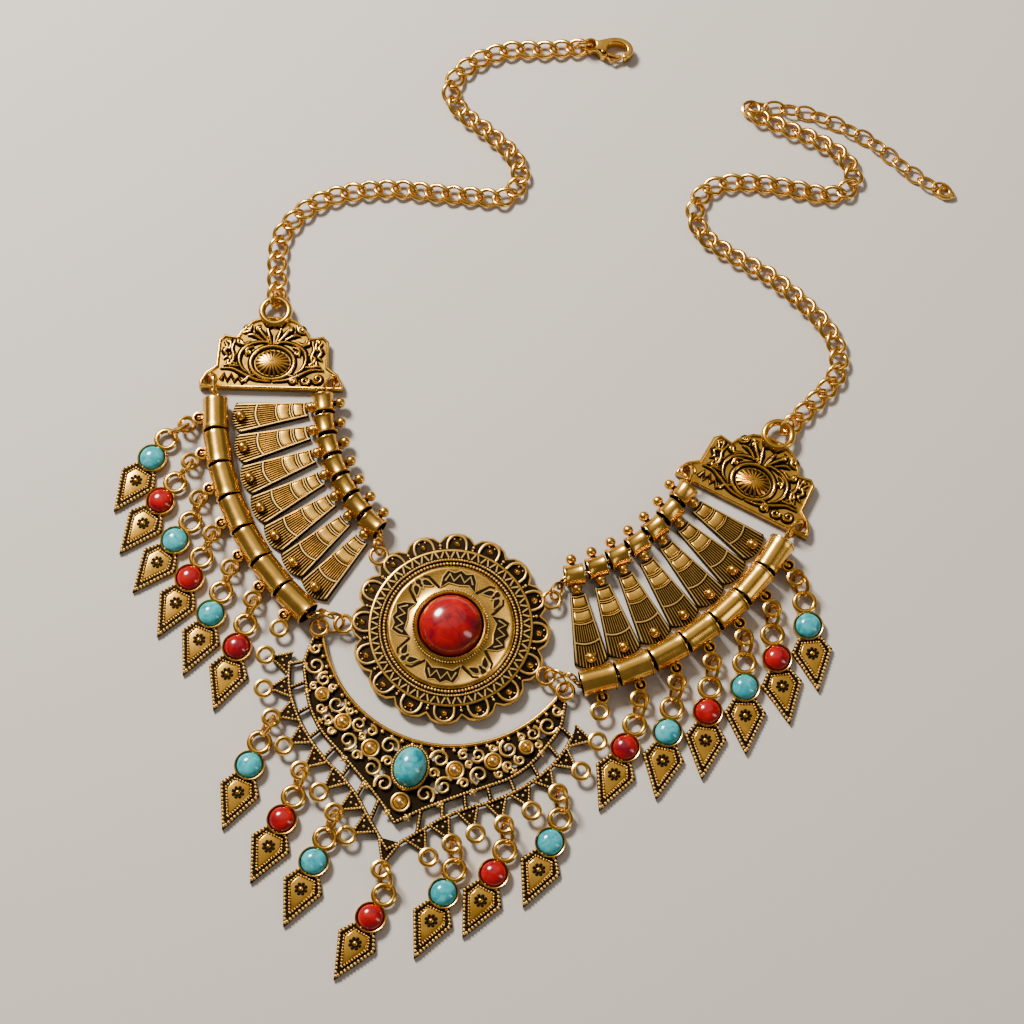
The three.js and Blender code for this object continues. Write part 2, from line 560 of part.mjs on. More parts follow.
function loopPlace(loop, side) {
  return [side * loop.r * Math.cos(rad(loop.angle)), loop.r * Math.sin(rad(loop.angle))];
}

for (const side of [-1, 1]) {
  const label = side < 0 ? "left" : "right";
  const { at } = platePlace(side);
  const endHalf = TUBE_LENGTH / 2 / OUTER_R * 180 / Math.PI;
  const lastAngle = FIRST_ANGLE + STEP_ANGLE * (PER_ARM - 1);

  const outerHole = at(side * PLATE_HOLE[0], PLATE_HOLE[1]);
  const outerStart = armPoint(side, OUTER_R, FIRST_ANGLE - endHalf - 0.6);
  const outerTop = linkTowards(outerHole, outerStart, PLATE_LINK_MEAN_R, PLATE_LINK_Z,
    -side * PLATE_LINK_TILT, PLATE_LINK_SLACK);
  const sideLoop = loopPlace(SIDE_LOOP, side);
  const tipLoop = [side * TIP_LOOP[0], TIP_LOOP[1]];
  const join = linkTowards(sideLoop, tipLoop, TIP_LINK_MEAN_R, TIP_LINK_Z, side * LINK_TILT, 0.1);
  const outerEnd = armPoint(side, OUTER_R, lastAngle + endHalf);
  const outerPath = [[...outerTop.far, 2.4], [...outerStart, TUBE_CORE_Z]];
  for (let i = 0; i < PER_ARM; i += 1) {
    outerPath.push([...armPoint(side, OUTER_R, FIRST_ANGLE + STEP_ANGLE * i), TUBE_CORE_Z]);
  }
  outerPath.push([...outerEnd, 2.2], ...OUTER_CORE_END.map((p) => [side * p[0], p[1], p[2]]));
  const outerCore = sleeve(outerPath, 0, 2 * CORE_R, 2 * CORE_R, 12, 5);
  addPart(`core_outer_${label}`, fuse([outerTop.ring, join.ring, outerCore]), chainGold);

  const innerHole = at(-side * PLATE_HOLE[0], PLATE_HOLE[1]);
  const spoolHalf = SPOOL_LENGTH / 2 / INNER_R * 180 / Math.PI;
  const innerStart = armPoint(side, INNER_R, FIRST_ANGLE - SPOOL_LAG - spoolHalf);
  const innerTop = linkTowards(innerHole, innerStart, PLATE_LINK_MEAN_R, PLATE_LINK_Z,
    side * PLATE_LINK_TILT, PLATE_LINK_SLACK);
  const upperLoop = loopPlace(UPPER_LOOP, side);
  const innerEnd = armPoint(side, INNER_R, lastAngle - SPOOL_LAG + spoolHalf);
  const innerFoot = linkTowards(upperLoop, innerEnd, END_RING_MEAN_R, END_LINK_Z, LINK_TILT, 0.3);
  const innerPath = [[...innerTop.far, 2.4], [...innerStart, SPOOL_CORE_Z]];
  for (let i = 0; i < PER_ARM; i += 1) {
    innerPath.push([...armPoint(side, INNER_R, FIRST_ANGLE + STEP_ANGLE * i - SPOOL_LAG), SPOOL_CORE_Z]);
  }
  innerPath.push([...innerEnd, SPOOL_CORE_Z], [...innerFoot.far, 2.4]);
  const innerCore = sleeve(innerPath, 0, 2 * CORE_R, 2 * CORE_R, 12, 5);
  addPart(`core_inner_${label}`, fuse([innerTop.ring, innerFoot.ring, innerCore]), chainGold);
}

// Chains
function chain(side, route, extra) {
  const { at } = platePlace(side);
  const ringAt = at(0, PLATE_RING_Y);
  const next = route[0];
  const length = Math.hypot(next[0] - ringAt[0], next[1] - ringAt[1]);
  const u = [(next[0] - ringAt[0]) / length, (next[1] - ringAt[1]) / length];
  const heading = Math.atan2(u[1], u[0]) * 180 / Math.PI;
  const end = link(ringAt[0] + u[0] * CHAIN_LINK_IN, ringAt[1] + u[1] * CHAIN_LINK_IN, CHAIN_LINK_Z,
    CHAIN_LINK_MEAN_R, CHAIN_LINK_WIRE_R, heading, CHAIN_LINK_TILT);
  const points = [[end.far[0] - u[0] * 0.2, end.far[1] - u[1] * 0.2], ...route.slice(1)];
  let run = 0;
  for (let i = 1; i < points.length; i += 1) {
    run += Math.hypot(points[i][0] - points[i - 1][0], points[i][1] - points[i - 1][1]);
  }
  const body = sleeve(points, CHAIN_HEIGHT / 2, CHAIN_WIDTH, CHAIN_HEIGHT, Math.round(run / CHAIN_STEP));
  return fuse([end.ring, body, ...extra]);
}

const leftRing = link(CLASP_AT[0] + 0.3, CLASP_AT[1] - 0.2, 2.5, LEFT_RING_MEAN_R, LEFT_RING_WIRE_R,
  CLASP_TURN + LEFT_RING_SWING, LEFT_RING_TILT).ring;
addPart("chain_left", chain(-1, CHAIN_LEFT, [leftRing]), chainGold);
const rightRing = flatRing(...CLASP_RING_RIGHT, 1.3, CLASP_RING_MEAN_R, 0.5);
const extender = sleeve(EXTENDER, EXTENDER_HEIGHT / 2, EXTENDER_WIDTH, EXTENDER_HEIGHT, 9, 6);
const [lastX, lastY] = EXTENDER[EXTENDER.length - 1];
const extenderEnd = placed(prism(outline(EXTENDER_END_OUTLINE), 0, EXTENDER_END_THICK), lastX - 0.6,
  lastY + 0.2, EXTENDER_END_TURN);
addPart("chain_right", chain(1, CHAIN_RIGHT, [rightRing, extender, extenderEnd]), chainGold);

// Clasp
const claspShape = outline(CLASP_OUTLINE);
hole(claspShape, circlePoints(0, 0, CLASP_EYE_R, CLASP_EYE_R, 8));
const claspLift = 0.1;
const middle = claspLift + CLASP_THICK / 2;
const claspBody = prism(claspShape, claspLift, claspLift + CLASP_THICK);
const slotHalf = LEVER_THICK / 2 + FIT_GAP;
const slotShape = outline([[2.1, -3.6], [2.1, -0.1], [4.3, -0.1], [5.6, -0.6], [5.6, -3.6]]);
const slot = prism(slotShape, middle - slotHalf, middle + slotHalf);
const eyeCut = new THREE.BoxGeometry(4, 6, 2).translate(-1.4, 0, 0.5);
const eyeTop = new THREE.BoxGeometry(4, 6, 2).translate(-1.4, 0, 3.5);
const pin = new THREE.CylinderGeometry(PIVOT_R, PIVOT_R, CLASP_THICK - 0.2, 8).rotateX(Math.PI / 2);
pin.translate(PIVOT[0], PIVOT[1], middle);
const onClasp = (g) => placed(g, CLASP_AT[0], CLASP_AT[1], CLASP_TURN);
const frame = fuse([onClasp(claspBody)], [slot, eyeCut, eyeTop].map(onClasp)).add(solid(onClasp(pin)));
addPart("clasp_body", frame, chainGold);

const leverShape = outline(LEVER_OUTLINE);
hole(leverShape, circlePoints(PIVOT[0], PIVOT[1], PIVOT_R + FIT_GAP, PIVOT_R + FIT_GAP, 8));
const lever = prism(leverShape, middle - LEVER_THICK / 2, middle + LEVER_THICK / 2);
addPart("clasp_lever", solid(onClasp(lever)), chainGold);

export default necklace;
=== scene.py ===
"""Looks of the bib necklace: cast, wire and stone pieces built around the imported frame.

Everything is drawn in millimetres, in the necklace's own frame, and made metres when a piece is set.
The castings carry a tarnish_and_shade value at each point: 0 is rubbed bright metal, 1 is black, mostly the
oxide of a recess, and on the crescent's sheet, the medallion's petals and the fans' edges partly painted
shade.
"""

import math

import bmesh
import bpy
from mathutils import Matrix, Vector


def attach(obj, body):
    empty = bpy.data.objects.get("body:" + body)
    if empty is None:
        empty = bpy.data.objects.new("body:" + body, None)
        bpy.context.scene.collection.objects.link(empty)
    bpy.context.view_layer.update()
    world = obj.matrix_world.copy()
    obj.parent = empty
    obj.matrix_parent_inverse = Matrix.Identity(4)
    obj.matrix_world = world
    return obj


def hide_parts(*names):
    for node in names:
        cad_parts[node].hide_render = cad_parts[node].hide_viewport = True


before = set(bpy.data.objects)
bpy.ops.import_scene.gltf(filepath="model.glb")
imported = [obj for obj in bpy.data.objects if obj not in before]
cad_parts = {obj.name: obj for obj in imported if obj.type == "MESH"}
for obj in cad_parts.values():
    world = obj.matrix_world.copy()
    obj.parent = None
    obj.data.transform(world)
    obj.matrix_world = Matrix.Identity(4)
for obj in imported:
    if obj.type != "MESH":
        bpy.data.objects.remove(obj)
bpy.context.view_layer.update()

MM = 0.001

# Layout of the two arms, as in the frame: radii and angles about the middle of the neck
NECK_Y = 64.0
OUTER_R = 78.5
INNER_R = 50.3
FIRST_ANGLE = 18.2
STEP_ANGLE = 6.95
PER_ARM = 7
SPOOL_LAG = 2.0
LOOP_AT = 7.7
LOOP_DROOP = 1.1
LOOP_Z = 2.3
FAN_END = 23.2
LINK_TILT = 62.0
TUBE_R = 3.6
TUBE_HALF = 4.4
SPOOL_R = 2.95
SPOOL_HALF = 2.5
FAN_START = 4.6
FAN_LENGTH = 17.7

# The drops, each as the heading of its ring and the heading of its kite
DROPS_LEFT = [(-143, -107.5), (-114, -110), (-90.5, -111.5), (-102, -101), (-97, -97), (-93, -93)]
DROPS_RIGHT = [(-58.5, -69), (-85, -66.5), (-81, -76), (-87, -81.5), (-94, -86), (-88, -98)]
DROPS_MIDDLE = [(-107, -96), (-89, -100), (-97, -99), (-59, -105), (-64, -99), (-68, -101), (-66, -98)]

# Medallion: its loops by angle and radius
SCALLOPS = 16
UPPER_LOOP = (31.0, 26.6)
SIDE_LOOP = (-13.0, 27.1)

# Crescent: its wires by angle and radius, its holes and cups by x, y and radius
TIP_LOOP = (32.1, -8.6)
TIP_ANGLE = 18.8
UPPER_TIP_R = 34.6
UPPER_POINT_R = 51.5
LOWER_TIP = (27.6, 41.2)
LOWER_POINT_R = 58.5
RUNG_ANGLES = [28, 36, 45, 54, 62, 70, 77, 83.5]
UPPER_WIRE_R = [37.6, 38.8, 40.4, 41.5, 41.8, 42.8, 44.6, 47.2]
LOWER_WIRE_R = [41.6, 43.2, 44.3, 45.1, 45.8, 46.6, 48.8, 53]
CRESCENT_LOOPS = [(10.4, -57.8), (15, -53.1), (20, -49.2), (26.1, -45.2), (31.8, -40.2), (36.9, -34.2),
                  (41, -27.4), (43.1, -19)]
POINT_LOOP = (0, -63.7)
EYES = [(4.9, -32.8, 1.3), (7.4, -40.2, 1.7), (13.6, -30.6, 1.2), (15.9, -35.6, 1.5), (21.7, -25.7, 1.2),
        (24.5, -29.2, 1.3), (29.3, -20.4, 1.2)]
CUPS = [(10.9, -35.2, 2.4), (19.4, -30.6, 2.3), (26.4, -25, 1.9)]
POINT_CUP = (0, -46.4, 2.5)
OVAL_Y = -37.4
BEAD_FLOWERS = [(30.3, -25.4), (16.6, -39.4), (9.6, -44.4), (2.6, -49.6), (25.0, -31.6)]

# Plates
PLATE_MIDDLE_R = 64.6
PLATE_ANGLE = 11.6
PLATE_TURN = 13.5
CORNER_EYE = (16.2, 2.4)
BOSS_Y = 7.4
TOP_RING_Y = 22.1
PLATE_OUTLINE = [(18.9, 0), (18.9, 1.4), (17.6, 3.9), (14.9, 6), (14.7, 13.6), (13.4, 14.9), (10, 14.3),
                 (9.1, 16.2), (6.2, 19.3), (3, 20.5)]

# Chains and clasp
CURB_PITCH = 4.65
EXTENDER_PITCH = 4.5
END_RING_AT = (39.9, 165.5, 1.3)
CHAIN_LEFT = [(-71.2, 84.6), (-73.4, 91), (-72.6, 98.5), (-67.6, 106.5), (-59.7, 112), (-48.5, 116.2),
              (-37, 118), (-26, 119.8), (-18.6, 121.6), (-15.9, 127.5), (-19.2, 134), (-27.5, 139.4),
              (-36, 143.5), (-41, 148.5), (-41, 154.5), (-36.6, 161), (-29, 166.2), (-20.5, 168.6),
              (-10.9, 171.9)]
CHAIN_RIGHT = [(76.2, 83.6), (79, 91.5), (78.8, 99.2), (74.5, 105.8), (66.5, 111.7), (56.2, 117.1),
               (45, 120.6), (36.4, 124.4), (32.4, 130.5), (33.8, 137.6), (39.5, 141.6), (48, 143.6),
               (57.5, 144.4), (65.8, 144.8), (70.8, 148.2), (71.2, 153.2), (66.8, 157.9), (59.5, 160.6),
               (50, 162.2), (42.2, 163.7)]
EXTENDER = [(41.8, 166.6), (48.5, 168), (57, 168.2), (66, 166.6), (75, 163.8), (82.4, 159.8), (89.4, 156.4),
            (95.6, 154.6)]
CLASP_AT = (-7.6, 173.1)
CLASP_TURN = 6.0
LEVER_PIN = (3.6, -1.6)
CLASP_OUTLINE = [(-2.1, 0), (-1.5, 1.5), (0, 2.1), (1.6, 1.6), (3.2, 2.2), (5.6, 3.1), (8, 3.3),
                 (10.2, 2.5), (11.6, 0.9), (11.8, -0.9), (10.9, -2.4), (9.6, -3), (9.1, -1.9),
                 (9.9, -1.2), (10.1, 0), (9.3, 1.1), (7.8, 1.7), (6, 1.5), (4.9, 0.5), (4.6, -0.9),
                 (5, -2.6), (3.6, -3.2), (2.2, -2.2), (1.3, -1.7), (0, -2.1), (-1.5, -1.5)]
LEVER_OUTLINE = [(2.5, -1.6), (3, -0.6), (4.1, -0.5), (4.9, -1.2), (7, -1.9), (8.7, -1.7), (8.9, -2.7),
                 (7.4, -3.5), (6.2, -4.2), (5.2, -3.4), (4.4, -2.7), (3, -2.6)]

# The photograph's view, in degrees and metres
AZIMUTH = 15
ELEVATION = 70
DISTANCE = 0.588
LOOK_AT = (0.0067, 0.0348, 0.0)


# Places and simple reckoning


def turned_by(angle, radius, x=0.0, y=0.0):
    return (x + radius * math.cos(math.radians(angle)), y + radius * math.sin(math.radians(angle)))


def rolled(angle, axis="X"):
    return Matrix.Rotation(math.radians(angle), 4, axis)


def stretched(x, y, z):
    return Matrix.Diagonal((x, y, z, 1))


def at(x=0.0, y=0.0, z=0.0, turn=0.0, size=1.0):
    return Matrix.Translation((x, y, z)) @ rolled(turn, "Z") @ Matrix.Scale(size, 4)


def bearing(x, y):
    return math.degrees(math.atan2(y, x))


def arm_point(side, radius, angle):
    """A point of the left or right arm, about the middle of the neck."""
    x, y = turned_by(-angle, radius)
    return (side * x, NECK_Y + y)


def below(angle, radius, side=1):
    """A point below the medallion's middle, for the crescent."""
    x, y = turned_by(-angle, radius)
    return (side * x, y)


def mirrored(points):
    return points + [(-x, y) for x, y in reversed(points)]


def ringed(x, y, width, height, count):
    turns = [2 * math.pi * i / count for i in range(count)]
    return [(x + width * math.cos(a), y + height * math.sin(a)) for a in turns]


def spaced(path, step, closed=False):
    """Points a step apart along a path, with the direction of the path at each."""
    line = [Vector(p).to_3d() for p in path]
    if closed:
        line.append(line[0])
    total = sum((b - a).length for a, b in zip(line, line[1:]))
    count = max(2, round(total / step))
    marks = [total * i / count for i in range(count if closed else count + 1)]
    found = []
    run = 0.0
    for a, b in zip(line, line[1:]):
        length = (b - a).length
        while marks and marks[0] <= run + length + 1e-6 and length > 0:
            found.append((a.lerp(b, (marks[0] - run) / length), (b - a).normalized()))
            marks.pop(0)
        run += length
    return found


def smoothed(path, per_span=8):
    """A rounded line through the points of a path."""
    points = [Vector(p).to_3d() for p in path]
    ends = [2 * points[0] - points[1], *points, 2 * points[-1] - points[-2]]
    line = []
    for a, b, c, d in zip(ends, ends[1:], ends[2:], ends[3:]):
        for i in range(per_span):
            t = i / per_span
            bend = 2 * a - 5 * b + 4 * c - d
            twist = 3 * b - a - 3 * c + d
            line.append(0.5 * (2 * b + (c - a) * t + bend * t * t + twist * t * t * t))
    line.append(points[-1])
    return line


def flat_line(path, per_span):
    return [tuple(p)[:2] for p in smoothed(path, per_span)]


def closed_line(path, per_span):
    return flat_line(path + path[:1], per_span)[:-1]


# Castings: closed shapes with a tarnish_and_shade value at each point, mostly oxide in hollows and in a few
# places painted shade. A finish says whether a shape has the piece's own metal, the rubbed and lit gold of
# high spots (a lighter copy of the metal that paints on the light small raised parts catch), or the stone.

METAL, RUBBED_LIT, STONE = 0, 1, 2
BRIGHT = 0.0
SHARP = 38.0
SEAM = 1e-4


def shade(mesh, tarnish_and_shade, finish=METAL):
    """The tarnish_and_shade value is one number, or a list of height and value pairs from low to high."""
    steps = tarnish_and_shade if isinstance(tarnish_and_shade, list) else [(0.0, tarnish_and_shade)]
    values = []
    for point in mesh.vertices:
        z = point.co.z
        value = steps[0][1] if z <= steps[0][0] else steps[-1][1]
        for (z0, t0), (z1, t1) in zip(steps, steps[1:]):
            if z0 < z <= z1:
                value = t0 + (t1 - t0) * (z - z0) / (z1 - z0)
        values.append(value)
    layer = mesh.attributes.get("tarnish_and_shade") or mesh.attributes.new("tarnish_and_shade", "FLOAT", "POINT")
    layer.data.foreach_set("value", values)
    mesh.polygons.foreach_set("material_index", [finish] * len(mesh.polygons))
    return mesh


def cast(bm, sharp=SHARP):
    bmesh.ops.recalc_face_normals(bm, faces=bm.faces)
    for face in bm.faces:
        face.smooth = True
    for edge in bm.edges:
        edge.smooth = len(edge.link_faces) != 2 or edge.calc_face_angle() < math.radians(sharp)
    mesh = bpy.data.meshes.new("casting")
    bm.to_mesh(mesh)
    bm.free()
    return mesh


def spin_round(bm, geometry, steps):
    """Spins a line or a loop once round Z and closes the seam."""
    bmesh.ops.spin(
        bm, geom=geometry, cent=(0, 0, 0), axis=(0, 0, 1), angle=2 * math.pi, steps=steps, use_merge=True
    )
    bmesh.ops.remove_doubles(bm, verts=bm.verts, dist=SEAM)


def turned(profile, steps=28, finish=METAL):
    """A shape turned on a lathe about Z. Each profile point is a radius, a height and a tarnish_and_shade
    value.
    """
    bm = bmesh.new()
    layer = bm.verts.layers.float.new("tarnish_and_shade")
    line = [bm.verts.new((r, 0, z)) for r, z, t in profile]
    for point, (r, z, t) in zip(line, profile):
        point[layer] = t
    edges = [bm.edges.new(pair) for pair in zip(line, line[1:])]
    spin_round(bm, line + edges, steps)
    for face in bm.faces:
        face.material_index = finish
    return cast(bm)


def ring(mean, wire, steps=28, sides=8, tarnish_and_shade=None, flatten=1.0):
    """A round wire ring lying flat, its middle at the origin."""
    bm = bmesh.new()
    section = Matrix.Translation((mean, 0, 0)) @ rolled(90)
    bmesh.ops.create_circle(bm, segments=sides, radius=wire, matrix=section)
    spin_round(bm, bm.verts[:] + bm.edges[:], steps)
    bmesh.ops.scale(bm, vec=(1, 1, flatten), verts=bm.verts)
    if tarnish_and_shade is None:
        tarnish_and_shade = [(-wire, 0.75), (-wire * 0.2, 0.1)]
    return shade(cast(bm), tarnish_and_shade)


def ball(radius, across=10, down=7, tarnish_and_shade=None, finish=METAL):
    bm = bmesh.new()
    bmesh.ops.create_uvsphere(bm, u_segments=across, v_segments=down, radius=radius)
    if tarnish_and_shade is None:
        tarnish_and_shade = [(-radius * 0.7, 1.0), (radius * 0.1, 0.0)]
    return shade(cast(bm), tarnish_and_shade, finish)


def from_curve(curve, sharp=SHARP):
    holder = bpy.data.objects.new("pattern", curve)
    mesh = bpy.data.meshes.new_from_object(holder)
    bpy.data.objects.remove(holder)
    bpy.data.curves.remove(curve)
    bm = bmesh.new()
    bm.from_mesh(mesh)
    bpy.data.meshes.remove(mesh)
    bmesh.ops.remove_doubles(bm, verts=bm.verts, dist=SEAM)
    return cast(bm, sharp)


def add_line(curve, path, closed):
    line = curve.splines.new("POLY")
    line.points.add(len(path) - 1)
    for point, spot in zip(line.points, path):
        spot = list(spot)
        point.co = (spot[0], spot[1], spot[2] if len(spot) > 2 else 0.0, 1)
        point.radius = spot[3] if len(spot) > 3 else 1.0
    line.use_cyclic_u = closed


def wires(paths, radius, tarnish_and_shade, z=None, closed=False, sides=6, finish=METAL):
    """Round wires along paths; a fourth number in a point is its share of the radius."""
    curve = bpy.data.curves.new("wire", "CURVE")
    curve.dimensions = "3D"
    curve.bevel_depth = radius
    curve.bevel_resolution = max(0, (sides - 4) // 2)
    curve.use_fill_caps = True
    for path in paths:
        if z is not None:
            path = [(p[0], p[1], z, *tuple(p)[3:]) for p in path]
        add_line(curve, path, closed)
    return shade(from_curve(curve, 55), tarnish_and_shade, finish)


def plate_metal(outlines, low, high, chamfer, rounds, tarnish_and_shade):
    """A flat sheet cut to the first outline, pierced by the others, with broken edges."""
    curve = bpy.data.curves.new("sheet", "CURVE")
    curve.dimensions = "2D"
    curve.fill_mode = "BOTH"
    curve.extrude = (high - low) / 2 - chamfer
    curve.bevel_depth = chamfer
    curve.bevel_resolution = rounds
    curve.offset = -chamfer
    for outline in outlines:
        add_line(curve, outline, True)
    mesh = from_curve(curve)
    mesh.transform(at(z=(low + high) / 2))
    return shade(mesh, tarnish_and_shade)


def gather(parts):
    """One casting from several, each a casting alone or a casting and its place."""
    bm = bmesh.new()
    bm.verts.layers.float.new("tarnish_and_shade")
    for part in parts:
        mesh, place = part if isinstance(part, tuple) else (part, None)
        copy = mesh.copy()
        if place is not None:
            copy.transform(place)
        bm.from_mesh(copy)
        bpy.data.meshes.remove(copy)
    bmesh.ops.recalc_face_normals(bm, faces=bm.faces)
    mesh = bpy.data.meshes.new("casting")
    bm.to_mesh(mesh)
    bm.free()
    return mesh


def add_object(name, data):
    item = bpy.data.objects.new(name, data)
    bpy.context.scene.collection.objects.link(item)
    return item


def set_piece(node, parts, finishes, body="necklace"):
    """The finished piece, in metres, riding on its body in place of its node."""
    name = node + "_detail"
    mesh = gather(parts)
    mesh.name = name
    mesh.transform(Matrix.Scale(MM, 4))
    for finish in finishes:
        mesh.materials.append(finish)
    piece = add_object(name, mesh)
    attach(piece, body)
    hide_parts(node)


# Finishes


def new_finish(name):
    material = bpy.data.materials.new(name)
    material.use_nodes = True
    nodes = material.node_tree.nodes
    return material, nodes, material.node_tree.links, nodes["Principled BSDF"]


def set_inputs(node, values):
    for name, value in values.items():
        node.inputs[name].default_value = value


def map_range(nodes, links, value, low, high, to_low, to_high):
    node = nodes.new("ShaderNodeMapRange")
    set_inputs(node, {"From Min": low, "From Max": high, "To Min": to_low, "To Max": to_high})
    links.new(value, node.inputs["Value"])
    return node.outputs["Result"]


def worn_and_shaded_plating_group():
    """Bright plating that is black where its tarnish_and_shade value is high (oxide and, in places, painted
    shade), cloudy between, with faint pits and scratches.
    """
    group = bpy.data.node_groups.new("worn_and_shaded_plating", "ShaderNodeTree")
    for name, kind, value in [
        ("Bright", "NodeSocketColor", (0.78, 0.46, 0.12, 1)),
        ("Warm", "NodeSocketColor", (0.5, 0.26, 0.05, 1)),
        ("Black", "NodeSocketColor", (0.014, 0.009, 0.005, 1)),
        ("Tarnish_and_shade", "NodeSocketFloat", 0.0),
        ("Smooth", "NodeSocketFloat", 0.22),
        ("Rough", "NodeSocketFloat", 0.55),
    ]:
        socket = group.interface.new_socket(name=name, in_out="INPUT", socket_type=kind)
        socket.default_value = value
    for name, kind in [
        ("Color", "NodeSocketColor"),
        ("Roughness", "NodeSocketFloat"),
        ("Height", "NodeSocketFloat"),
    ]:
        group.interface.new_socket(name=name, in_out="OUTPUT", socket_type=kind)
    nodes, links = group.nodes, group.links
    inputs = nodes.new("NodeGroupInput")
    outputs = nodes.new("NodeGroupOutput")
    place = nodes.new("ShaderNodeTexCoord")

    def noise(scale, detail):
        node = nodes.new("ShaderNodeTexNoise")
        set_inputs(node, {"Scale": scale, "Detail": detail})
        links.new(place.outputs["Object"], node.inputs["Vector"])
        return node.outputs["Fac"]

    def fit(value, *limits):
        return map_range(nodes, links, value, *limits)

    def mixed(share, a, b):
        node = nodes.new("ShaderNodeMix")
        node.data_type = "RGBA"
        links.new(share, node.inputs["Factor"])
        links.new(a, node.inputs["A"])
        links.new(b, node.inputs["B"])
        return node.outputs["Result"]

    def added(a, b):
        node = nodes.new("ShaderNodeMath")
        node.operation = "ADD"
        links.new(a, node.inputs[0])
        links.new(b, node.inputs[1])
        return node.outputs["Value"]

    clouds = noise(260, 4)
    grain = noise(2600, 3)
    # The mask blackens the plating where the value is high: oxide in hollows, and in a few places painted
    # shade.
    mask = fit(added(inputs.outputs["Tarnish_and_shade"], fit(clouds, 0.3, 0.7, -0.16, 0.16)), 0.2, 0.66, 0.0, 1.0)
    tone = mixed(fit(clouds, 0.38, 0.68, 0.0, 0.7), inputs.outputs["Bright"], inputs.outputs["Warm"])
    links.new(mixed(mask, tone, inputs.outputs["Black"]), outputs.inputs["Color"])
    spread = nodes.new("ShaderNodeMix")
    links.new(mask, spread.inputs["Factor"])
    links.new(inputs.outputs["Smooth"], spread.inputs["A"])
    links.new(inputs.outputs["Rough"], spread.inputs["B"])
    uneven = added(spread.outputs["Result"], fit(grain, 0.3, 0.7, -0.02, 0.04))
    links.new(uneven, outputs.inputs["Roughness"])
    links.new(fit(grain, 0.2, 0.8, 0.0, 1.0), outputs.inputs["Height"])
    return group


worn_and_shaded_plating = worn_and_shaded_plating_group()


def plating(name, bright, warm, smooth, bump):
    material, nodes, links, shader = new_finish(name)
    group = nodes.new("ShaderNodeGroup")
    group.node_tree = worn_and_shaded_plating
    set_inputs(group, {"Bright": bright, "Warm": warm, "Smooth": smooth, "Rough": 0.6})
    layer = nodes.new("ShaderNodeAttribute")
    layer.attribute_name = "tarnish_and_shade"
    links.new(layer.outputs["Fac"], group.inputs["Tarnish_and_shade"])
    links.new(group.outputs["Color"], shader.inputs["Base Color"])
    links.new(group.outputs["Roughness"], shader.inputs["Roughness"])
    set_inputs(shader, {"Metallic": 1.0})
    relief = nodes.new("ShaderNodeBump")
    set_inputs(relief, {"Strength": bump, "Distance": 0.00008})
    links.new(group.outputs["Height"], relief.inputs["Height"])
    links.new(relief.outputs["Normal"], shader.inputs["Normal"])
    return material


def resin_stone(name, stops, scale, vein, vein_share):
    """Glossy marbled resin: clouded colours with a few thin veins."""
    material, nodes, links, shader = new_finish(name)
    place = nodes.new("ShaderNodeTexCoord")
    clouds = nodes.new("ShaderNodeTexNoise")
    set_inputs(clouds, {"Scale": scale, "Detail": 5, "Distortion": 1.2})
    links.new(place.outputs["Object"], clouds.inputs["Vector"])
    ramp = nodes.new("ShaderNodeValToRGB")
    ramp.color_ramp.elements.remove(ramp.color_ramp.elements[1])
    for i, (spot, colour) in enumerate(stops):
        element = ramp.color_ramp.elements[0] if i == 0 else ramp.color_ramp.elements.new(spot)
        element.position = spot
        element.color = colour
    links.new(clouds.outputs["Fac"], ramp.inputs["Fac"])
    cells = nodes.new("ShaderNodeTexVoronoi")
    cells.feature = "DISTANCE_TO_EDGE"
    set_inputs(cells, {"Scale": scale * 0.7})
    warp = nodes.new("ShaderNodeMix")
    warp.data_type = "VECTOR"
    warp.inputs["Factor"].default_value = 0.004
    links.new(place.outputs["Object"], warp.inputs["A"])
    links.new(clouds.outputs["Color"], warp.inputs["B"])
    links.new(warp.outputs["Result"], cells.inputs["Vector"])
    thin = map_range(nodes, links, cells.outputs["Distance"], 0.0, 0.035, vein_share, 0.0)
    veined = nodes.new("ShaderNodeMix")
    veined.data_type = "RGBA"
    links.new(thin, veined.inputs["Factor"])
    links.new(ramp.outputs["Color"], veined.inputs["A"])
    veined.inputs["B"].default_value = vein
    links.new(veined.outputs["Result"], shader.inputs["Base Color"])
    set_inputs(shader, {"Roughness": 0.16, "Coat Weight": 0.35, "Coat Roughness": 0.06})
    return material


polished = plating("polished_antique_gold", (0.8, 0.44, 0.07, 1), (0.52, 0.26, 0.03, 1), 0.2, 0.03)
satin = plating("satin_tube_gold", (0.84, 0.48, 0.09, 1), (0.6, 0.31, 0.045, 1), 0.21, 0.01)
filigree = plating("cast_filigree_gold", (0.78, 0.44, 0.085, 1), (0.46, 0.24, 0.035, 1), 0.25, 0.05)
chain_metal = plating("copper_gold_chain", (0.84, 0.47, 0.085, 1), (0.6, 0.3, 0.045, 1), 0.21, 0.02)
# A lighter, rougher copy of the gold for beads, wires and cup domes: partly rubbed high spots, partly a
# painted highlight for the light that small raised parts catch.
rubbed_lit_gold = plating("rubbed_and_lit_high_spots", (0.9, 0.58, 0.17, 1), (0.7, 0.41, 0.09, 1), 0.3, 0.03)
red_resin = resin_stone(
    "red_marbled_resin",
    [(0.3, (0.1, 0.0, 0.01, 1)), (0.44, (0.28, 0.001, 0.003, 1)), (0.7, (0.42, 0.002, 0.002, 1))],
    190, (0.06, 0.001, 0.02, 1), 0.4,
)
blue_resin = resin_stone(
    "turquoise_marbled_resin",
    [(0.3, (0.006, 0.17, 0.22, 1)), (0.46, (0.02, 0.32, 0.38, 1)), (0.7, (0.09, 0.48, 0.52, 1))],
    300, (0.03, 0.06, 0.05, 1), 0.35,
)
STONES = (blue_resin, red_resin)

# Castings that are used again and again

